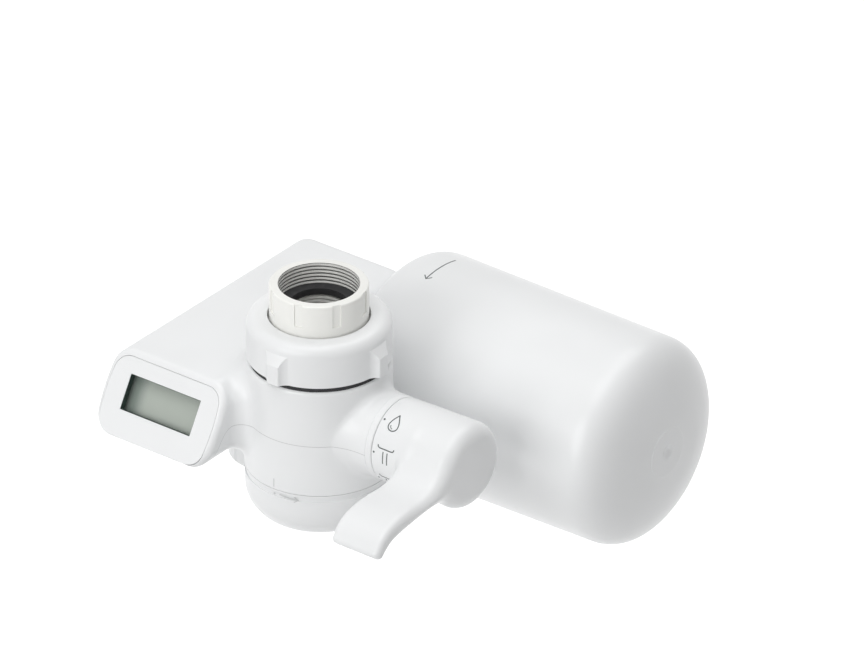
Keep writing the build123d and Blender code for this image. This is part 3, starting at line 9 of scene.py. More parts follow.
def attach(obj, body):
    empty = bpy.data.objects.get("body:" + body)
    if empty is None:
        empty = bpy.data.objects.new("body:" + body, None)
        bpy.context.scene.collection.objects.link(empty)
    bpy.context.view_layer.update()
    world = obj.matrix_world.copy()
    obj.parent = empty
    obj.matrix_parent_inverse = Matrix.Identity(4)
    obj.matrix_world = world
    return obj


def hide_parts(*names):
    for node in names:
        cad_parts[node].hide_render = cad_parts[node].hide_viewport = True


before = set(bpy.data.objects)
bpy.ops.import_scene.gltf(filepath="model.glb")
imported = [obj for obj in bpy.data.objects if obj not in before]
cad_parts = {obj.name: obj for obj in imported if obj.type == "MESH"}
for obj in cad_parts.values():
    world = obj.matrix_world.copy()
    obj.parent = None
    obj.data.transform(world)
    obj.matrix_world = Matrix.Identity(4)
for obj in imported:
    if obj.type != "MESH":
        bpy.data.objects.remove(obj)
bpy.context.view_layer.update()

# Sizes are in millimetres and become metres in the meshes. Heights are counted from the body's foot, and
# the origin is SEAT_HEIGHT above it. Points of a mesh within SAME_PLACE of each other are one.
MM = 0.001
SEAT_HEIGHT = 72.2
SAME_PLACE = 0.002


def up(height):
    """A height above the body's foot, as a place on the Z axis."""
    return height - SEAT_HEIGHT


# The round body: its radius at the foot and at the shoulder, and the heights of the cap's seam and of the
# shoulder.
FOOT_RADIUS, SHOULDER_RADIUS = 21.3, 20.5
SEAM_HEIGHT, SHOULDER_HEIGHT = 15.8, 48.5

# The two shells' parting line: its height, where along Y it bends down, the radius of that corner, and how
# far before the collar's groove it ends. Then half its width, the share of that over which its edges fade,
# and its tone as a share of the white.
PARTING_HEIGHT, PARTING_Y, PARTING_CORNER, PARTING_SHORT = 31.4, -24.6, 3.0, 0.1
PARTING_HALF, PARTING_FADE, PARTING_TONE = 0.075, 0.4, 0.62

# The black rubber ring in the gap under the clamp nut, which also paints the gap's deep shade: its radii
# and the heights of its faces.
RING_INNER, RING_OUTER, RING_LOW, RING_HIGH = 16.9, 19.75, 48.3, 49.75

# The thread in the adapter's bore, and how far past its radius its shading starts to fade and ends.
THREAD_RADIUS, THREAD_PITCH, THREAD_FADE = 11.5, 1.1, (0.1, 0.3)

# The collar and the hub lie about one axis along X. The collar has a groove, and the rounding of its outer
# end is (along X, inwards). The hub's inner end is rounded by steps of (along X, inwards).
LEVER_HEIGHT = 31.9
COLLAR_START, COLLAR_SEAM, COLLAR_END = 23.5, 25.6, 27.55
GROOVE_HALF, GROOVE_DEEP, COLLAR_ROUND = 0.07, 0.12, (0.3, 0.2)
HUB_START, HUB_JOIN, HUB_END = 27.75, 34.6, 54.8
HUB_RADIUS, HUB_END_RADIUS = 12.3, 12.8
HUB_WIDENS = (HUB_END_RADIUS - HUB_RADIUS) / (HUB_END - HUB_START)
HUB_ROUND = ((0.0, 0.3), (0.12, 0.1), (0.4, 0.0))

# The lever arm's upper line and lower line from inside the hub to the tip, as (Y, height).
ARM_UPPER = ((-4.6, 41.8), (-7.2, 41.0), (-9.5, 39.8), (-13.4, 35.6), (-17.2, 32.6), (-22.0, 31.5),
             (-28.0, 31.5), (-33.0, 31.2), (-38.0, 30.0), (-41.6, 27.6), (-43.4, 25.3))
ARM_LOWER = ((-1.0, 30.0), (-4.0, 28.0), (-9.0, 26.6), (-14.0, 26.4), (-20.0, 26.7), (-27.0, 26.4),
             (-32.0, 26.0), (-36.5, 25.2), (-39.2, 23.7), (-40.9, 22.3))
ARM_LEFT = 38.1
# The plane of the arm's end lies ARM_TIP_PAST beyond the two lines, which run on by ARM_RUN_ON to meet it.
ARM_TIP_PAST, ARM_TIP_ROUND, ARM_RUN_ON = 1.5, 1.5, 4.0
# Along Y: from the tip to the hub, the rounding of the arm's left edge and of its right edge.
ROUND_Y = (-44.0, -30.0, -10.0, 0.0)
ROUND_LEFT, ROUND_RIGHT = (1.7, 2.4, 3.0, 3.0), (1.7, 2.6, 4.3, 4.3)
# The hollow between arm and hub: its least reach, and what is added, which fades over these X and over
# these heights.
HOLLOW_LEAST, HOLLOW_MORE, HOLLOW_X, HOLLOW_HEIGHT = 0.8, 2.4, (39.0, 43.0), (28.0, 32.0)
# Left of HUB_JOIN the lever's form is sunk this much in the hub's cylinder. That fades over JOIN_LENGTH to
# each side, and the form starts JOIN_INSIDE further left.
JOIN_SUNK, JOIN_LENGTH, JOIN_INSIDE = 0.012, 0.6, 1.5
# The lattice that the lever's form is worked out on: two corners and the step.
LATTICE_LOW, LATTICE_HIGH, LATTICE_STEP = (32.0, -46.0, 17.5), (57.0, 14.5, 46.0), 0.38

# The cartridge's drum: the place of its axis, its radius, and its taper from an X on.
DRUM_BACK, DRUM_HEIGHT = 54.3, 21.3
DRUM_RADIUS, DRUM_TAPER_START, DRUM_TAPER = 31.8, -5.0, 0.9 / 72.8

# The display's leaning face: the middle of its panel, and its own three directions. The window sits
# WINDOW_RISE above that middle, and the panel's opening is within OPENING_REACH of it.
FACE_LEAN = math.radians(30.7)
FACE_ACROSS = (1.0, 0.0, 0.0)
FACE_ALONG = (0.0, math.sin(FACE_LEAN), math.cos(FACE_LEAN))
FACE_OUT = (0.0, -math.cos(FACE_LEAN), math.sin(FACE_LEAN))
PANEL_MIDDLE = np.array((-34.8, -28.8, up(32.2)))
WINDOW_RISE, OPENING_REACH, WHOLE_REACH = 1.5, (13.5, 6.5), (99.0, 99.0)
WINDOW_MIDDLE = PANEL_MIDDLE + WINDOW_RISE * np.array(FACE_ALONG)
WINDOW_WIDE, WINDOW_TALL = 25.1, 10.5
# The window's lining: the play round it, its corners, its wall, and how deep its front and its back lie.
LINER_PLAY, LINER_CORNER, LINER_WALL, LINER_FRONT, LINER_BACK = 0.02, 0.3, 0.12, 0.15, 1.97

# Prints stand PRINT_LIFT proud, and their edges go PRINT_ROOT down into what they are printed on.
PRINT_LIFT, PRINT_ROOT, LINE_WIDE, DOT_RADIUS = 0.03, 0.06, 0.32, 0.3
# Prints of the hub and the drum, as (X, distance round from the top towards the front).
SETTING_DOTS = ((28.7, 7.7), (28.7, 17.5), (28.7, 27.3))
DROP_MIDDLE, DROP_HALF_TALL, DROP_WIDTH, DROP_POINT = (32.4, 7.6), 2.6, 2.25, 1.5
GLINT_MIDDLE, GLINT_RADIUS, GLINT_BEND, GLINT_WIDE = (32.5, 8.7), 0.9, (95, 185), 0.22
# The mouth that is drawn over the stream and over the shower, each from its own distance round.
MOUTH = ((29.8, 0.0), (30.0, 0.55), (30.6, 0.8), (32.6, 0.8), (34.6, 0.8), (35.2, 0.55), (35.4, 0.0))
STREAM_AT, STREAM_X, STREAM_REACH = 14.9, (31.9, 33.35), (1.6, 5.3)
# The shower's rays: two rows of three. The outer rays stand apart from the middle one and lean out.
SHOWER_AT, SHOWER_X, SHOWER_ROWS = 24.9, 32.6, ((1.5, 2.4), (3.0, 3.9))
SHOWER_APART, SHOWER_LEAN = 1.0, 0.15
ARROW_X, ARROW_START, ARROW_END, ARROW_HEAD = 0.6, -7.5, 6.5, 1.3
# Moulded marks on the body and its cap, drawn in a grey that is painted shade, as (distance round from the
# front towards the lever, height).
INDEX_LINE = ((0.3, 16.4), (0.3, 19.0))
CAP_DOT = (0.5, 14.3)
CAP_ARROW = ((2.2, 14.5), (4.2, 14.2), (6.2, 14.0), (8.0, 13.85))
CAP_ARROW_HEAD = ((6.9, 14.75), (8.0, 13.85), (6.7, 13.1))

# Colours are linear red, green and blue.
WHITE, WHITE_ROUGHNESS = (0.87, 0.88, 0.885), 0.3
CREAM = (0.92, 0.92, 0.885)
# The second grey is painted shade for the moulded marks of the body and its cap.
INK, MARK_SHADE_GREY = (0.09, 0.105, 0.105), (0.64, 0.65, 0.65)
RUBBER_BLACK, RUBBER_GREY = (0.03, 0.03, 0.032), (0.2, 0.21, 0.21)
LCD_GREEN = (0.43, 0.475, 0.42)
# The lining's green black is partly its own colour and partly painted shade of the window's recess.
LINING_BLACK_AND_SHADE = (0.012, 0.03, 0.023)
# Plain moulded plastics: the slot, its colour, its roughness and the strength of its grain.
PLAIN_PLASTICS = (("white_plastic", WHITE, WHITE_ROUGHNESS, 0.1),
                  ("inner_plastic", (0.78, 0.79, 0.79), 0.45, 0.2),
                  ("grey_plastic", (0.42, 0.44, 0.45), 0.38, 0.2),
                  ("blue_plastic", (0.16, 0.32, 0.55), 0.35, 0.1))

# The camera's own directions, the point that it looks at in millimetres, and how far it stands off and
# what it sees in metres. Its lens and its sensor's width are a real camera's, in millimetres.
VIEW_RIGHT = (0.79183, 0.61074, 0.0)
VIEW_UP = (-0.30263, 0.39236, 0.8686)
VIEW_BACK = (0.5305, -0.6878, 0.4955)
VIEW_TARGET = (28.377, 14.747, -9.912)
VIEW_DISTANCE, VIEW_NEAREST, VIEW_FARTHEST = 2.671, 0.1, 30.0
LENS_LENGTH, SENSOR_WIDTH = 400.0, 36.0

# The studio, in metres and watts. Each lamp faces the origin and has its place and its power. Rays that
# show the floor to the camera see its own colour and glow, and all others see FLOOR_BOUNCE.
FLOOR_Z, FLOOR_HALF = -0.2, 4.0
FLOOR_COLOUR, FLOOR_FIBRE, FLOOR_BOUNCE = (0.97, 0.97, 0.97), (0.9, 0.9, 0.9), (0.75, 0.75, 0.75)
FLOOR_GLOW, BLACK = (0.6, 0.6, 0.6), (0.0, 0.0, 0.0)
WORLD_LEVEL = 0.4
LAMP_WIDTH = 0.9
LAMPS = (("lamp_above", (0.0, -0.3, 1.0), 3.8),
         ("lamp_front", (-0.1, -1.15, 0.35), 5.0),
         ("lamp_back", (0.0, 0.5, 1.0), 3.0))

# The Mix node's sockets for colours, by number because their names repeat: two inputs and the output.
MIX_ONE, MIX_OTHER, MIX_RESULT = 6, 7, 2


class Wire:
    """An output socket of a node. Python's operators on it add Math nodes, so that a mask is a formula."""

    def __init__(self, socket):
        self.socket = socket

    def node(self, kind, settings, inputs, output=0):
        """One output of any other node, made in the same tree."""
        return Wire(add_node(self.socket.id_data, kind, settings, inputs).outputs[output])

    def math(self, operation, *others):
        return self.node("ShaderNodeMath", {"operation": operation}, dict(enumerate((self, *others))))

    def __add__(self, other):
        return self.math("ADD", other)

    def __sub__(self, other):
        return self.math("SUBTRACT", other)

    def __rsub__(self, other):
        return self.node("ShaderNodeMath", {"operation": "SUBTRACT"}, {0: other, 1: self})

    def __mul__(self, other):
        return self.math("MULTIPLY", other)

    def __pow__(self, other):
        return self.math("POWER", other)

    __radd__, __rmul__ = __add__, __mul__

    def step(self, start, end):
        """0 before start, 1 after end, and smooth between."""
        return self.node("ShaderNodeMapRange", {"interpolation_type": "SMOOTHSTEP"},
                         {"Value": self, "From Min": start, "From Max": end})


def add_node(tree, kind, settings, inputs):
    """Adds one node to a tree: its settings first, then the values or links of its sockets."""
    made = tree.nodes.new(kind)
    for name, value in settings.items():
        setattr(made, name, value)
    for key, value in inputs.items():
        if isinstance(value, Wire):
            tree.links.new(value.socket, made.inputs[key])
        else:
            made.inputs[key].default_value = value
    return made


class Finish:
    """One material: a Principled shader, its object coordinates, and the patterns the finishes share."""

    def __init__(self, name, colour, roughness, **constants):
        self.name = name
        self.material = bpy.data.materials.new(name)
        self.material.use_nodes = True
        self.tree = self.material.node_tree
        self.tree.nodes.clear()
        sockets = {"Base Color": (*colour, 1.0), "Roughness": roughness}
        sockets.update({key.replace("_", " "): value for key, value in constants.items()})
        self.shader = add_node(self.tree, "ShaderNodeBsdfPrincipled", {}, sockets)
        add_node(self.tree, "ShaderNodeOutputMaterial", {}, {"Surface": Wire(self.shader.outputs[0])})
        self.place = Wire(add_node(self.tree, "ShaderNodeTexCoord", {}, {}).outputs["Object"])

    def feed(self, **inputs):
        """Links patterns to the shader's own sockets."""
        for key, value in inputs.items():
            self.tree.links.new(value.socket, self.shader.inputs[key.replace("_", " ")])

    def fed(self, key):
        """The pattern that already feeds one of the shader's sockets."""
        return Wire(self.shader.inputs[key].links[0].from_socket)

    def along(self, way, start=None):
        """How far a point is along one way, in metres, from the origin or from a start in millimetres."""
        far = self.place.node("ShaderNodeVectorMath", {"operation": "DOT_PRODUCT"},
                              {0: self.place, 1: way}, "Value")
        return far if start is None else far - float(np.dot(start, way)) * MM

    def noise(self, scale, detail=2.0, rough=0.5, twist=0.0):
        """A number from 0 to 1 that wanders over the piece, with scale bumps per metre."""
        return self.place.node("ShaderNodeTexNoise", {},
                               {"Vector": self.place, "Scale": scale, "Detail": detail,
                                "Roughness": rough, "Distortion": twist}, "Fac")

    def bands(self, direction, scale, twist, detail):
        """Wavy bands across one direction, as a number from 0 to 1."""
        return self.place.node("ShaderNodeTexWave", {"wave_type": "BANDS", "bands_direction": direction},
                               {"Vector": self.place, "Scale": scale, "Distortion": twist,
                                "Detail": detail}, "Fac")

    def cells(self, scale):
        """The distance from the middle of the nearest of many scattered cells."""
        return self.place.node("ShaderNodeTexVoronoi", {"feature": "F1"},
                               {"Vector": self.place, "Scale": scale}, "Distance")

    def blend(self, amount, one, other):
        """A colour between two colours, each a tuple or a pattern."""
        one, other = ((*c, 1.0) if isinstance(c, tuple) else c for c in (one, other))
        return self.place.node("ShaderNodeMix", {"data_type": "RGBA"},
                               {"Factor": amount, MIX_ONE: one, MIX_OTHER: other}, MIX_RESULT)

    def bumps(self, height, strength, deep, under=None):
        """A bump from a height pattern, with the real height in millimetres, over another bump if given."""
        inputs = {"Height": height, "Strength": strength, "Distance": deep * MM}
        if under:
            inputs["Normal"] = under
        return self.place.node("ShaderNodeBump", {}, inputs)


def moulded_plastic(name, colour, roughness, grain=0.1, clouds=0.024):
    """Moulded plastic: a fine skin from the mould, and slow changes of tone and gloss where it flowed."""
    finish = Finish(name, colour, roughness)
    flow = finish.noise(45.0, detail=1.0)
    darker = tuple(c * (1 - clouds) for c in colour)
    finish.feed(Base_Color=finish.blend(flow.step(0.3, 0.7), darker, colour),
                Roughness=roughness - 0.03 + 0.06 * flow,
                Normal=finish.bumps(finish.noise(5200.0, rough=0.6), grain, 0.02))
    return finish


def shell_plastic():
    """White plastic with the fine line where the two shells meet. The line is the edge of a form below a
    level plane and behind a plane that leans with the display, with their corner rounded."""
    finish = moulded_plastic("shell_plastic", WHITE, WHITE_ROUGHNESS)
    corner = (0.0, PARTING_Y, up(PARTING_HEIGHT))
    above, ahead = (finish.along(way, corner) + PARTING_CORNER * MM for way in ((0.0, 0.0, 1.0), FACE_OUT))
    outside = (above.math("MAXIMUM", 0.0) ** 2 + ahead.math("MAXIMUM", 0.0) ** 2) ** 0.5
    inside = above.math("MAXIMUM", ahead).math("MINIMUM", 0.0)
    far = (outside + inside - PARTING_CORNER * MM).math("ABSOLUTE")
    past_seam = finish.along(FACE_ACROSS).step((COLLAR_SEAM - PARTING_SHORT) * MM, COLLAR_SEAM * MM)
    dim = far.step((1 - PARTING_FADE) * PARTING_HALF * MM, (1 + PARTING_FADE) * PARTING_HALF * MM)
    finish.feed(Base_Color=finish.blend((1 - dim) * (1 - past_seam), finish.fed("Base Color"),
                                        tuple(PARTING_TONE * c for c in WHITE)))
    return finish


def cream_plastic():
    """Cream plastic, with the turns of the thread as waves on the wall of the bore."""
    finish = moulded_plastic("cream_plastic", CREAM, 0.24, clouds=0.04)
    radius = (finish.along((1.0, 0.0, 0.0)) ** 2 + finish.along((0.0, 1.0, 0.0)) ** 2) ** 0.5
    bore = 1 - radius.step(*((THREAD_RADIUS + past) * MM for past in THREAD_FADE))
    turns = (finish.along((0.0, 0.0, 1.0)) * (2 * math.pi / (THREAD_PITCH * MM))).math("SINE")
    finish.feed(Normal=finish.bumps(turns * bore, 1.0, 0.4, finish.fed("Normal")))
    return finish


def printed_ink(name, colour):
    """Pad-printed ink: thin, matt, and a little uneven in its cover."""
    finish = Finish(name, colour, 0.55)
    cover = finish.noise(2600.0, detail=3.0, rough=0.7)
    finish.feed(Base_Color=finish.blend(cover.step(0.62, 0.9) * 0.35, colour, WHITE),
                Roughness=0.5 + 0.15 * cover)
    return finish


def soft_rubber(name, colour):
    """Matt rubber with a faint bloom on its skin."""
    finish = Finish(name, colour, 0.7, Specular_IOR_Level=0.3)
    bloom = finish.noise(420.0, detail=3.0)
    paler = tuple(0.85 * c + 0.04 for c in colour)
    finish.feed(Base_Color=finish.blend(bloom.step(0.45, 0.75) * 0.5, colour, paler),
                Roughness=0.62 + 0.16 * bloom, Normal=finish.bumps(finish.noise(3000.0), 0.25, 0.03))
    return finish


def steel():
    """Drawn and rolled stainless steel: fine lines across the piece and a few duller patches."""
    finish = Finish("steel", (0.62, 0.62, 0.6), 0.25, Metallic=1.0)
    lines = finish.bands("Z", 900.0, 3.0, 2.0)
    dull = finish.noise(160.0).step(0.4, 0.8)
    finish.feed(Roughness=0.2 + 0.08 * lines + 0.15 * dull, Normal=finish.bumps(lines, 0.1, 0.01))
    return finish


def clear_pane():
    """A clear moulded pane: nearly all of it is see-through, with a few specks of haze in it."""
    finish = Finish("clear_plastic", (0.93, 0.96, 0.94), 0.06, Specular_IOR_Level=0.6)
    haze = finish.noise(900.0, detail=4.0).step(0.62, 0.8)
    finish.feed(Alpha=0.05 + 0.02 * haze, Roughness=0.05 + 0.05 * haze)
    return finish


def liquid_crystal():
    """The unlit display: grey-green glass under a thin film, with the shade of the frame round it painted
    on, the left side most. Each edge paints that shade over a stretch that is given in millimetres inwards."""
    painted_shade_green, film_green = (0.08, 0.13, 0.105), (0.35, 0.4, 0.355)
    finish = Finish("display_glass", LCD_GREEN, 0.22, Coat_Weight=0.3, Coat_Roughness=0.08)
    across, along = (finish.along(way, WINDOW_MIDDLE) for way in (FACE_ACROSS, FACE_ALONG))
    from_left, from_right = across + 0.5 * WINDOW_WIDE * MM, 0.5 * WINDOW_WIDE * MM - across
    from_ends = 0.5 * WINDOW_TALL * MM - along.math("ABSOLUTE")
    left, ends, right = (edge.step(start * MM, end * MM) for edge, start, end in (
        (from_left, 1.2, 6.2), (from_ends, -0.4, 2.2), (from_right, -1.0, 3.0)))
    # Painted shade: the share of light that each edge of the frame leaves on the glass, least at the left.
    light = (0.25 + 0.75 * left) * (0.72 + 0.28 * ends) * (0.88 + 0.12 * right)
    film = finish.noise(350.0, detail=3.0)
    glass = finish.blend(film * 0.08, LCD_GREEN, film_green)
    finish.feed(Base_Color=finish.blend(light, painted_shade_green, glass), Roughness=0.16 + 0.1 * film)
    return finish


def window_lining():
    """The dark lining of the window: a green black film with a soft sheen. Its dark colour is partly its own
    and partly painted shade of the window's recess.
    """
    finish = Finish("window_lining", LINING_BLACK_AND_SHADE, 0.5)
    film = finish.noise(700.0)
    paler = tuple(1.6 * c for c in LINING_BLACK_AND_SHADE)
    finish.feed(Base_Color=finish.blend(film * 0.5, LINING_BLACK_AND_SHADE, paler), Roughness=0.42 + 0.15 * film)
    return finish


def circuit_board():
    """A circuit board: green varnish over copper tracks that run in two directions."""
    varnish, over_copper = (0.015, 0.12, 0.045), (0.04, 0.25, 0.09)
    finish = Finish("board_green", varnish, 0.35)
    across, along = (finish.along(way, WINDOW_MIDDLE) for way in (FACE_ACROSS, FACE_ALONG))
    upright = (across * 5200.0).math("SINE").step(0.72, 0.9)
    level = (along * 4100.0).math("SINE").step(0.8, 0.95)
    tracks = upright.math("MAXIMUM", level)
    finish.feed(Base_Color=finish.blend(tracks, varnish, over_copper),
                Normal=finish.bumps(tracks, 0.4, 0.04), Roughness=0.32 + 0.1 * finish.noise(700.0))
    return finish


def activated_carbon():
    """Pressed carbon grains: near black, coarse and matt, with painted light on their middles and painted
    shade at their edges.
    """
    painted_lit_top, painted_shaded_side = (0.045, 0.045, 0.047), (0.012, 0.012, 0.013)
    finish = Finish("carbon", painted_shaded_side, 0.85)
    grains = finish.cells(1100.0)
    # Grain middles get painted light, as lit tops, and their edges get painted shade, as shaded sides.
    finish.feed(Base_Color=finish.blend(grains.step(0.1, 0.7), painted_lit_top, painted_shaded_side),
                Normal=finish.bumps(grains, 0.8, 0.25), Roughness=0.75 + 0.2 * grains)
    return finish


def pressed_fleece():
    """White filter fleece: crossing fibres, pressed flat, with painted shade among them."""
    painted_shade, fibre = (0.68, 0.68, 0.65), (0.86, 0.86, 0.83)
    finish = Finish("fleece", fibre, 0.95, Sheen_Weight=0.3)
    fibres = finish.noise(2400.0, detail=4.0, twist=2.5)
    # The darker fibres are painted shade.
    finish.feed(Base_Color=finish.blend(fibres.step(0.35, 0.7), painted_shade, fibre),
                Normal=finish.bumps(fibres, 0.7, 0.2), Roughness=0.88 + 0.1 * fibres)
    return finish


def hollow_fibre():
    """A bundle of hollow fibres: fine white threads that run along the drum, with painted shade between
    them.
    """
    painted_shade, thread = (0.6, 0.6, 0.55), (0.88, 0.88, 0.84)
    finish = Finish("fibre", thread, 0.6)
    threads = finish.bands("Y", 420.0, 1.5, 1.0)
    # The dark bands between the threads are painted shade.
    finish.feed(Base_Color=finish.blend(threads, painted_shade, thread),
                Normal=finish.bumps(threads, 0.6, 0.2), Roughness=0.5 + 0.2 * threads)
    return finish


def potting_resin():
    """Cast resin: honey coloured and glossy, with small bubbles."""
    bubble, honey = (0.7, 0.55, 0.3), (0.5, 0.34, 0.13)
    finish = Finish("resin", honey, 0.15, Coat_Weight=0.4)
    bubbles = finish.cells(650.0)
    finish.feed(Base_Color=finish.blend(bubbles.step(0.0, 0.25), bubble, honey),
                Normal=finish.bumps(bubbles.step(0.0, 0.2), 0.3, 0.1),
                Roughness=0.12 + 0.1 * finish.noise(200.0))
    return finish


def skin(grid, loop):
    """Corner numbers of the faces over a grid of points: rows run along the shape and columns close round
    it, and loop joins the last row to the first. A row whose points all meet is a pole, and its faces are
    triangles."""
    rows, columns, _ = grid.shape
    index = np.arange(rows * columns).reshape(rows, columns)
    poles = np.ptp(grid, axis=1).max(axis=1) < SAME_PLACE
    index[poles] = index[poles][:, :1]
    low, high = (index, np.roll(index, -1, 0)) if loop else (index[:-1], index[1:])
    quads = np.stack([low, np.roll(low, -1, 1), np.roll(high, -1, 1), high], -1).reshape(-1, 4)
    flat_low, flat_high = quads[:, 0] == quads[:, 1], quads[:, 2] == quads[:, 3]
    whole = quads[~flat_low & ~flat_high]
    return [*whole.tolist(), *quads[flat_low & ~flat_high][:, [0, 2, 3]].tolist(),
            *quads[flat_high & ~flat_low][:, [0, 1, 2]].tolist()]


def piece(name, body, finish, surfaces, stands_for=()):
    """One piece from closed surfaces, each a grid and whether it loops, or points and a list of faces.
    Faces are turned outwards by the sign of the volume that they enclose."""
    corners, faces = [], []
    for grid, made in surfaces:
        made = skin(grid, made) if isinstance(made, bool) else made
        points = grid.reshape(-1, 3)
        fans = np.array([[f[0], f[i], f[i + 1]] for f in made for i in range(1, len(f) - 1)])
        a, b, c = points[fans[:, 0]], points[fans[:, 1]], points[fans[:, 2]]
        if np.einsum("ij,ij->i", a, np.cross(b, c)).sum() < 0:
            made = [f[::-1] for f in made]
        start = sum(len(p) for p in corners)
        faces += [[start + i for i in f] for f in made]
        corners.append(points)
    mesh = bpy.data.meshes.new(name)
    points = np.concatenate(corners) * MM
    used, place = np.unique(np.concatenate([np.array(f) for f in faces]), return_inverse=True)
    ends = np.cumsum([len(f) for f in faces])[:-1]
    mesh.from_pydata(points[used].tolist(), [], [f.tolist() for f in np.split(place, ends)])
    settle(mesh, body, finish, stands_for, sharp=32.0)


def joined_copy(node, body, finish, reach=None):
    """A CAD node's own surface with its loose triangles joined, so that it shades smoothly between real
    edges. With a reach, the points that are within it of the panel's middle move up the leaning face by
    the window's rise."""
    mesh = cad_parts[node].data.copy()
    mesh.name = node + "_surface"
    work = bmesh.new()
    work.from_mesh(mesh)
    bmesh.ops.remove_doubles(work, verts=work.verts, dist=SAME_PLACE * MM)
    work.to_mesh(mesh)
    work.free()
    if reach:
        points = np.array([v.co for v in mesh.vertices]) / MM
        ways = np.array([FACE_ACROSS, FACE_ALONG])
        inside = (np.abs((points - PANEL_MIDDLE) @ ways.T) < reach).all(1)
        points[inside] += WINDOW_RISE * ways[1]
        mesh.vertices.foreach_set("co", (points * MM).ravel())
    for stored in ("custom_normal", "sharp_face", "sharp_edge"):
        if stored in mesh.attributes:
            mesh.attributes.remove(mesh.attributes[stored])
    settle(mesh, body, finish, (node,), sharp=28.0)


def settle(mesh, body, finish, stands_for, sharp):
    """Makes a mesh the piece of its name: it shades smoothly up to edges sharper than an angle, rides on a
    body, and stands for the CAD nodes named."""
    mesh.polygons.foreach_set("use_smooth", [True] * len(mesh.polygons))
    mesh.set_sharp_from_angle(angle=math.radians(sharp))
    mesh.materials.clear()
    mesh.materials.append(finish.material)
    made = bpy.data.objects.new(mesh.name, mesh)
    bpy.context.scene.collection.objects.link(made)
    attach(made, body)
    if stands_for:
        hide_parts(*stands_for)


def smooth_line(points, count):
    """A smooth line through points: each stretch is the cubic that leaves and meets its points at the
    slope between their neighbours."""
    points = np.array(points, float)
    slopes = np.gradient(points, axis=0)
    place = np.linspace(0, len(points) - 1, count)
    start = np.minimum(place.astype(int), len(points) - 2)
    t = (place - start)[:, None]
    return ((1 + 2 * t) * (1 - t) ** 2 * points[start] + t * (1 - t) ** 2 * slopes[start]
            + t * t * (3 - 2 * t) * points[start + 1] + t * t * (t - 1) * slopes[start + 1])


def full_turn(columns=128):
    """Angles all round, without the last, which would meet the first."""
    return np.linspace(0, 2 * np.pi, columns, endpoint=False)


def round_x(along, radius, turn, back, height):
    """Places at a turn round a line along X, counted from above the line towards the front."""
    return np.stack([along + 0 * turn, back - radius * np.sin(turn), up(height) + radius * np.cos(turn)], -1)


def about_lever(profile):
    """A profile of (X, radius) points turned about the lever's axis."""
    profile = np.array(profile, float)
    return round_x(profile[:, :1], profile[:, 1:], full_turn(), 0, LEVER_HEIGHT)


def hub_surface():
    """The hub's inner end, as far as the arm's root: a slightly widening cylinder about the lever's axis."""
    return about_lever([(HUB_START, 0), *((HUB_START + past, HUB_RADIUS - less) for past, less in HUB_ROUND),
                        (HUB_JOIN, HUB_RADIUS + HUB_WIDENS * (HUB_JOIN - HUB_START)), (HUB_JOIN, 0)])


def collar_surface():
    """The collar at the boss's end, with a fine groove where the boss seems to end."""
    groove = [(COLLAR_SEAM - GROOVE_HALF, HUB_RADIUS), (COLLAR_SEAM, HUB_RADIUS - GROOVE_DEEP),
              (COLLAR_SEAM + GROOVE_HALF, HUB_RADIUS)]
    outer_end = [(COLLAR_END - COLLAR_ROUND[0], HUB_RADIUS), (COLLAR_END, HUB_RADIUS - COLLAR_ROUND[1]),
                 (COLLAR_END, 0)]
    return about_lever([(COLLAR_START, 0), (COLLAR_START, HUB_RADIUS), *groove, *outer_end])


def gap_shade_ring_surface():
    """The ring under the nut, whose black also paints the gap's deep shade: a rectangle turned about the
    nut's axis.
    """
    turn = full_turn()
    corners = ((RING_INNER, RING_LOW), (RING_OUTER, RING_LOW),
               (RING_OUTER, RING_HIGH), (RING_INNER, RING_HIGH))
    return np.stack([np.stack([radius * np.cos(turn), radius * np.sin(turn), up(height) + 0 * turn], -1)
                     for radius, height in corners])


def window_liner_surface():
    """The dark lining of the window: a thin rectangular tube with round corners in the panel's opening."""
    quarter = np.linspace(0, 0.5 * np.pi, 4)
    turn = np.concatenate([quarter + start * 0.5 * np.pi for start in range(4)])
    side, top = np.repeat((1, -1, -1, 1), len(quarter)), np.repeat((1, 1, -1, -1), len(quarter))
    rim = ((0, LINER_FRONT), (0, LINER_BACK), (LINER_WALL, LINER_BACK), (LINER_WALL, LINER_FRONT))
    grid = []
    for inset, depth in rim:
        middle = LINER_PLAY + inset + LINER_CORNER
        across = side * (WINDOW_WIDE / 2 - middle) + LINER_CORNER * np.cos(turn)
        along = top * (WINDOW_TALL / 2 - middle) + LINER_CORNER * np.sin(turn)
        grid.append(WINDOW_MIDDLE + np.stack([across, along, 0 * across - depth], -1)
                    @ np.array([FACE_ACROSS, FACE_ALONG, FACE_OUT]))
    return np.stack(grid)


def outline_distance(y, height, outline):
    """The distance from points to a closed outline in the plane of Y and height, below zero inside: the
    nearest of its straight edges, and inside where a line to one side crosses it an odd number of times."""
    a, b = outline, np.roll(outline, -1, 0)
    y, height = np.asarray(y)[..., None], np.asarray(height)[..., None]
    along_y, along_h = (b - a).T
    share = ((y - a[:, 0]) * along_y + (height - a[:, 1]) * along_h) / (along_y ** 2 + along_h ** 2)
    share = np.clip(share, 0, 1)
    far = np.hypot(y - a[:, 0] - share * along_y, height - a[:, 1] - share * along_h).min(-1)
    spans = (a[:, 1] > height) != (b[:, 1] > height)
    rise = np.where(along_h == 0, 1, along_h)
    odd = (spans & (y < a[:, 0] + along_y * (height - a[:, 1]) / rise)).sum(-1) % 2 == 1
    return np.where(odd, -far, far)


def round_both(one, other, radius):
    """The part inside two forms, given by their distances, with the edge between them rounded."""
    one, other = one + radius, other + radius
    outside = np.hypot(np.maximum(one, 0), np.maximum(other, 0))
    return np.minimum(np.maximum(one, other), 0) + outside - radius


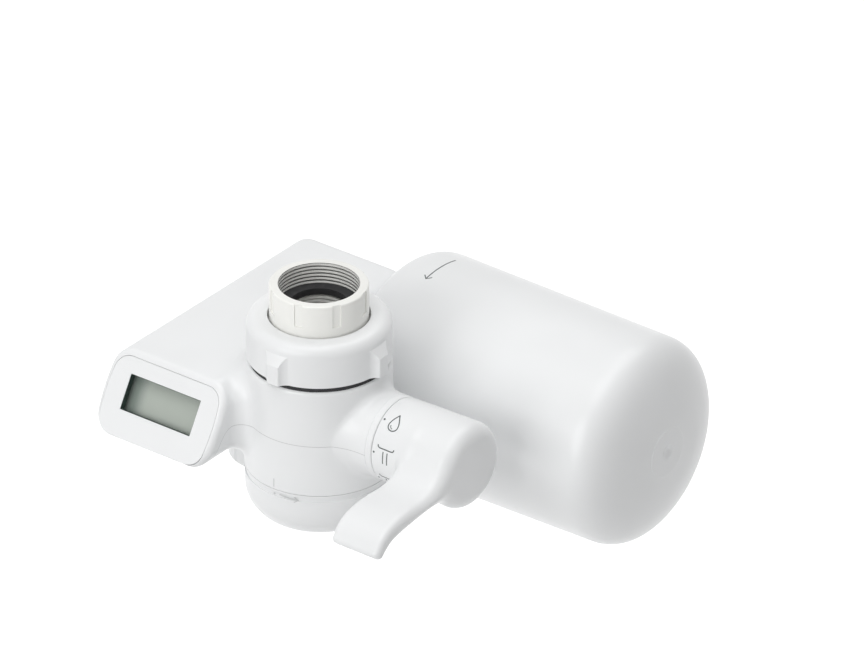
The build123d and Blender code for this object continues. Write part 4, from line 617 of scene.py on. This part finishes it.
def soft_either(one, other, reach):
    """The part inside either of two forms, filled between them where both are within reach of each other."""
    near = np.maximum(reach - np.abs(one - other), 0) / reach
    return np.minimum(one, other) - 0.25 * reach * near ** 2


def ramp(value, start, end):
    """0 at start, 1 at end, and smooth between."""
    t = np.clip((value - start) / (end - start), 0, 1)
    return t * t * (3 - 2 * t)


def lever_field(x, y, height):
    """The lever as a distance field: the hub's circle and the arm's outline flow into each other, the arm
    is cut off at its left side, and both share one rounded right end."""
    upper, lower = smooth_line(ARM_UPPER, 70), smooth_line(ARM_LOWER, 60)
    ahead = upper[-1] - upper[-3] + lower[-1] - lower[-3]
    ahead /= np.linalg.norm(ahead)
    run_on = [upper[-1] + ARM_RUN_ON * ahead, lower[-1] + ARM_RUN_ON * ahead]
    end = (upper[-1] + lower[-1]) / 2 + ARM_TIP_PAST * ahead
    past_end = (y - end[0]) * ahead[0] + (height - end[1]) * ahead[1]
    arm = outline_distance(y, height, np.concatenate([upper, run_on, lower[::-1]]))
    arm = round_both(arm, past_end, ARM_TIP_ROUND)
    arm = round_both(arm, ARM_LEFT - x, np.interp(y, ROUND_Y, ROUND_LEFT))
    sunk = JOIN_SUNK * (1 - ramp(x, HUB_JOIN - JOIN_LENGTH, HUB_JOIN + JOIN_LENGTH))
    hub = np.hypot(y, height - LEVER_HEIGHT) - HUB_RADIUS - HUB_WIDENS * (x - HUB_START) + sunk
    more = np.maximum(1 - ramp(x, *HOLLOW_X), 1 - ramp(height, *HOLLOW_HEIGHT))
    both = soft_either(hub, arm, HOLLOW_LEAST + HOLLOW_MORE * more)
    both = round_both(both, x - HUB_END, np.interp(y, ROUND_Y, ROUND_RIGHT))
    return np.maximum(both, HUB_JOIN - JOIN_INSIDE - x)


def field_surface(field, low, high, step, evenings=3, evened=0.6, returns=2, probe=0.01, least_slope=0.2):
    """The zero surface of a distance field. Each cell of a lattice that it passes through gets one point,
    at the mean of where it crosses the cell's edges, and each crossed edge joins its four cells by a face.
    Each evening moves the points a share of the way to the mean of their neighbours, and then returns them
    to the surface along the field's slope, which is felt out by a small probe each way."""
    lines = [np.arange(a, b + step, step) for a, b in zip(low, high)]
    values = field(*np.ix_(*lines))
    cells = tuple(n - 1 for n in values.shape)
    total, count = np.zeros((*cells, 3)), np.zeros(cells)
    quads = []
    for axis in range(3):
        before, after = [slice(None)] * 3, [slice(None)] * 3
        before[axis], after[axis] = slice(None, -1), slice(1, None)
        one, other = values[tuple(before)], values[tuple(after)]
        crossed = (one < 0) != (other < 0)
        at = np.argwhere(crossed)
        point = np.stack([line[at[:, i]] for i, line in enumerate(lines)], -1)
        point[:, axis] += one[crossed] / (one[crossed] - other[crossed]) * step
        u, v = [i for i in range(3) if i != axis]
        ring = []
        for du, dv in ((0, 0), (1, 0), (1, 1), (0, 1)):
            cell = at.copy()
            cell[:, u] -= du
            cell[:, v] -= dv
            ring.append(np.ravel_multi_index(cell.T, cells))
            np.add.at(total, tuple(cell.T), point)
            np.add.at(count, tuple(cell.T), 1)
        ring = np.stack(ring, 1)
        flip = (one[crossed] < 0) != (axis == 1)
        quads.append(np.where(flip[:, None], ring[:, ::-1], ring))
    used, quads = np.unique(np.concatenate(quads), return_inverse=True)
    quads = quads.reshape(-1, 4)
    points = (total.reshape(-1, 3) / np.maximum(count.reshape(-1, 1), 1))[used]
    for _ in range(evenings):
        around, share = np.zeros_like(points), np.zeros((len(points), 1))
        for shift in (1, 3):
            np.add.at(around, quads, points[np.roll(quads, shift, 1)])
            np.add.at(share, quads, 1.0)
        points = (1 - evened) * points + evened * around / share
        for _ in range(returns):
            here = field(*points.T)
            slope = np.stack([(field(*(points + probe * way).T) - here) / probe for way in np.eye(3)], -1)
            points -= slope * (here / np.maximum((slope ** 2).sum(-1), least_slope))[:, None]
    points[:, 2] -= SEAT_HEIGHT
    return points, quads.tolist()


def on_hub(place, lift):
    """Places on the hub from (X, distance round) pairs: the distance becomes a turn about the axis."""
    along, turn = place[..., 0], place[..., 1] / HUB_RADIUS
    radius = HUB_RADIUS + HUB_WIDENS * (along - HUB_START) + lift
    return round_x(along, radius, turn, 0, LEVER_HEIGHT)


def on_drum(place, lift):
    """Places on the drum's tapered side, from (X, distance round) pairs."""
    along, turn = place[..., 0], place[..., 1] / DRUM_RADIUS
    radius = DRUM_RADIUS - DRUM_TAPER * (along - DRUM_TAPER_START) + lift
    return round_x(along, radius, turn, DRUM_BACK, DRUM_HEIGHT)


def on_body(place, lift):
    """Places on the round body, from (distance round from the front, height) pairs."""
    turn, height = place[..., 0] / FOOT_RADIUS, place[..., 1]
    taper = (FOOT_RADIUS - SHOULDER_RADIUS) / (SHOULDER_HEIGHT - SEAM_HEIGHT)
    radius = FOOT_RADIUS - taper * np.maximum(height - SEAM_HEIGHT, 0) + lift
    return np.stack([radius * np.sin(turn), -radius * np.cos(turn), up(height)], -1)


def line_on(surface, points, wide=LINE_WIDE, closed=False):
    """A printed line on a surface: the points move half the width to both sides, with a thin edge down
    into it. Both ends of an open line are closed over their middles."""
    points = np.array(points, float)
    if closed:
        ahead = np.roll(points, -1, 0) - np.roll(points, 1, 0)
    else:
        ahead = np.gradient(points, axis=0)
    beside = np.stack([-ahead[:, 1], ahead[:, 0]], -1)
    beside *= 0.5 * wide / np.linalg.norm(ahead, axis=1, keepdims=True)
    rim = ((1, PRINT_LIFT), (-1, PRINT_LIFT), (-1, -PRINT_ROOT), (1, -PRINT_ROOT))
    grid = np.stack([surface(points + side * beside, lift) for side, lift in rim], 1)
    if closed:
        return grid, True
    first, last = grid[:1].mean(1, keepdims=True), grid[-1:].mean(1, keepdims=True)
    return np.concatenate([first + 0 * grid[:1], grid, last + 0 * grid[:1]]), False


def dot_on(surface, middle):
    """A printed dot: a thin round disc on a surface."""
    turn = full_turn(columns=20)
    ring = np.stack([np.cos(turn), np.sin(turn)], -1)
    rim = ((0, PRINT_LIFT), (DOT_RADIUS, PRINT_LIFT), (DOT_RADIUS, -PRINT_ROOT), (0, -PRINT_ROOT))
    return np.stack([surface(np.array(middle) + size * ring, lift) for size, lift in rim]), False


def hub_prints():
    """The three settings: a dot for each, and a drop, a stream and a shower drawn as lines. The drop's
    outline is the sine of a turn, narrowed at the tip by the sine of half of it."""
    turn = np.linspace(0, 2 * np.pi, 61)[1:-1]
    drop = np.stack([DROP_MIDDLE[0] + DROP_WIDTH * np.sin(turn) * np.sin(turn / 2) ** DROP_POINT,
                     DROP_MIDDLE[1] - DROP_HALF_TALL * np.cos(turn)], -1)
    bend = np.radians(np.linspace(*GLINT_BEND, 9))
    glint = GLINT_MIDDLE + GLINT_RADIUS * np.stack([np.cos(bend), np.sin(bend)], -1)
    made = [line_on(on_hub, drop, closed=True), line_on(on_hub, glint, GLINT_WIDE)]
    made += [dot_on(on_hub, spot) for spot in SETTING_DOTS]
    made += [line_on(on_hub, smooth_line(MOUTH, 30) + (0, start)) for start in (STREAM_AT, SHOWER_AT)]
    made += [line_on(on_hub, np.linspace(*((x, STREAM_AT + end) for end in STREAM_REACH), 12))
             for x in STREAM_X]
    for row, reach in enumerate(SHOWER_ROWS):
        for side in (-1, 0, 1):
            ray = [(SHOWER_X + side * (SHOWER_APART + SHOWER_LEAN * (2 * row + end)), SHOWER_AT + reach[end])
                   for end in (0, 1)]
            made.append(line_on(on_hub, np.linspace(*ray, 5)))
    return made


def drum_prints():
    """A plain arrow round the drum that shows which way it turns."""
    tip, barb = (ARROW_X, ARROW_END), ARROW_END - ARROW_HEAD
    return [line_on(on_drum, np.linspace((ARROW_X, ARROW_START), tip, 24)),
            line_on(on_drum, [(ARROW_X - ARROW_HEAD, barb), tip, (ARROW_X + ARROW_HEAD, barb)])]


def cap_marks():
    """The cap's moulded dot, and the arrow that shows which way the cap turns, as strips for painted shade.
    """
    return [dot_on(on_body, CAP_DOT), line_on(on_body, CAP_ARROW), line_on(on_body, CAP_ARROW_HEAD)]


def seen_rays(tree):
    """1 for the rays that show the studio to the camera, straight or through metal and glass, and else 0."""
    rays = add_node(tree, "ShaderNodeLightPath", {}, {})
    straight, glossy, through = (Wire(rays.outputs[name]) for name in (
        "Is Camera Ray", "Is Glossy Ray", "Is Transmission Ray"))
    return straight.math("MAXIMUM", glossy.math("MAXIMUM", through))


def studio():
    """A pale floor well below the unit, a white surround, and soft lamps above, in front and behind."""
    floor = bpy.data.objects.new("floor", bpy.data.meshes.new("floor"))
    corners = [(x * FLOOR_HALF, y * FLOOR_HALF, FLOOR_Z) for x, y in ((-1, -1), (1, -1), (1, 1), (-1, 1))]
    floor.data.from_pydata(corners, [], [(0, 1, 2, 3)])
    bpy.context.scene.collection.objects.link(floor)
    paper = Finish("floor_paper", FLOOR_COLOUR, 0.8, Specular_IOR_Level=0.2, Emission_Strength=1.0)
    fibres = paper.noise(1200.0, detail=3.0)
    seen = seen_rays(paper.tree)
    pale = paper.blend(fibres * 0.02, FLOOR_COLOUR, FLOOR_FIBRE)
    paper.feed(Base_Color=paper.blend(seen, FLOOR_BOUNCE, pale), Roughness=0.78 + 0.05 * fibres,
               Emission_Color=paper.blend(seen, BLACK, FLOOR_GLOW))
    floor.data.materials.append(paper.material)

    world = bpy.data.worlds.new("studio")
    bpy.context.scene.world = world
    world.use_nodes = True
    tree = world.node_tree
    tree.nodes.clear()
    level = WORLD_LEVEL + (1 - WORLD_LEVEL) * seen_rays(tree)
    light = add_node(tree, "ShaderNodeBackground", {}, {"Color": (1.0, 1.0, 1.0, 1.0), "Strength": level})
    add_node(tree, "ShaderNodeOutputWorld", {}, {"Surface": Wire(light.outputs[0])})

    for name, place, power in LAMPS:
        lamp = bpy.data.lights.new(name, "AREA")
        lamp.shape, lamp.size, lamp.energy = "DISK", LAMP_WIDTH, power
        holder = bpy.data.objects.new(name, lamp)
        holder.location = place
        holder.rotation_euler = (-Vector(place)).to_track_quat("-Z", "Y").to_euler()
        bpy.context.scene.collection.objects.link(holder)


def camera():
    """The photograph's view: a very long lens, to the right of the front and above."""
    lens = bpy.data.cameras.new("camera")
    lens.lens, lens.sensor_width = LENS_LENGTH, SENSOR_WIDTH
    lens.clip_start, lens.clip_end = VIEW_NEAREST, VIEW_FARTHEST
    holder = bpy.data.objects.new("camera", lens)
    right, above, towards = Vector(VIEW_RIGHT), Vector(VIEW_UP), Vector(VIEW_BACK)
    turned_to = Matrix((right, above, towards)).transposed().to_4x4()
    stands_at = Vector(VIEW_TARGET) * MM + towards * VIEW_DISTANCE
    holder.matrix_world = Matrix.Translation(stands_at) @ turned_to
    bpy.context.scene.collection.objects.link(holder)
    bpy.context.scene.camera = holder
    bpy.context.scene.view_settings.view_transform = "Standard"


camera()
studio()

# Every CAD node gets the finish of its slot in the record.
FINISHES = {made.name: made for made in (
    *(moulded_plastic(*plastic) for plastic in PLAIN_PLASTICS), cream_plastic(),
    soft_rubber("rubber", RUBBER_BLACK), soft_rubber("grey_rubber", RUBBER_GREY), steel(), clear_pane(),
    liquid_crystal(), circuit_board(), activated_carbon(), pressed_fleece(), hollow_fibre(),
    potting_resin())}
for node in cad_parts.values():
    for place, made in enumerate(node.data.materials):
        node.data.materials[place] = FINISHES[made.name.split(".")[0]].material

# The outer nodes are shown by a copy that shades smoothly, and the parts of the window are raised.
white, shell = FINISHES["white_plastic"], shell_plastic()
joined_copy("outlet_cap", "cap", white)
joined_copy("cartridge_shell", "cartridge", white)
joined_copy("clamp_nut", "nut", white)
joined_copy("filtered_outlet", "unit", white)
joined_copy("upper_shell", "unit", shell)
joined_copy("lower_shell", "unit", shell)
joined_copy("tap_adapter", "unit", FINISHES["cream_plastic"])
joined_copy("display_bezel", "unit", white, OPENING_REACH)
joined_copy("display_window", "unit", FINISHES["clear_plastic"], WHOLE_REACH)
joined_copy("lcd_panel", "unit", FINISHES["display_glass"], WHOLE_REACH)

# Pieces of the scene's own.
lever_form = field_surface(lever_field, LATTICE_LOW, LATTICE_HIGH, LATTICE_STEP)
piece("lever_surface", "lever", white, [(hub_surface(), False), lever_form], ("lever",))
piece("collar_surface", "unit", shell, [(collar_surface(), False)], ("collar_ring",))
# The lining's dark wall also paints the shade inside the window's recess.
piece("window_liner", "unit", window_lining(), [(window_liner_surface(), True)])
# The black ring paints the deep shade in the gap under the nut.
piece("gap_ring", "unit", FINISHES["rubber"], [(gap_shade_ring_surface(), True)])
# The pale grey paints the shade of the moulded marks on the body and its cap.
ink, painted_mark_shade = printed_ink("printed_ink", INK), printed_ink("painted_mark_shade", MARK_SHADE_GREY)
piece("hub_prints", "lever", ink, hub_prints())
piece("drum_prints", "cartridge", ink, drum_prints())
# The cap's marks and the index line carry painted shade.
piece("cap_marks", "cap", painted_mark_shade, cap_marks())
piece("index_line", "unit", painted_mark_shade, [line_on(on_body, np.linspace(*INDEX_LINE, 5))])
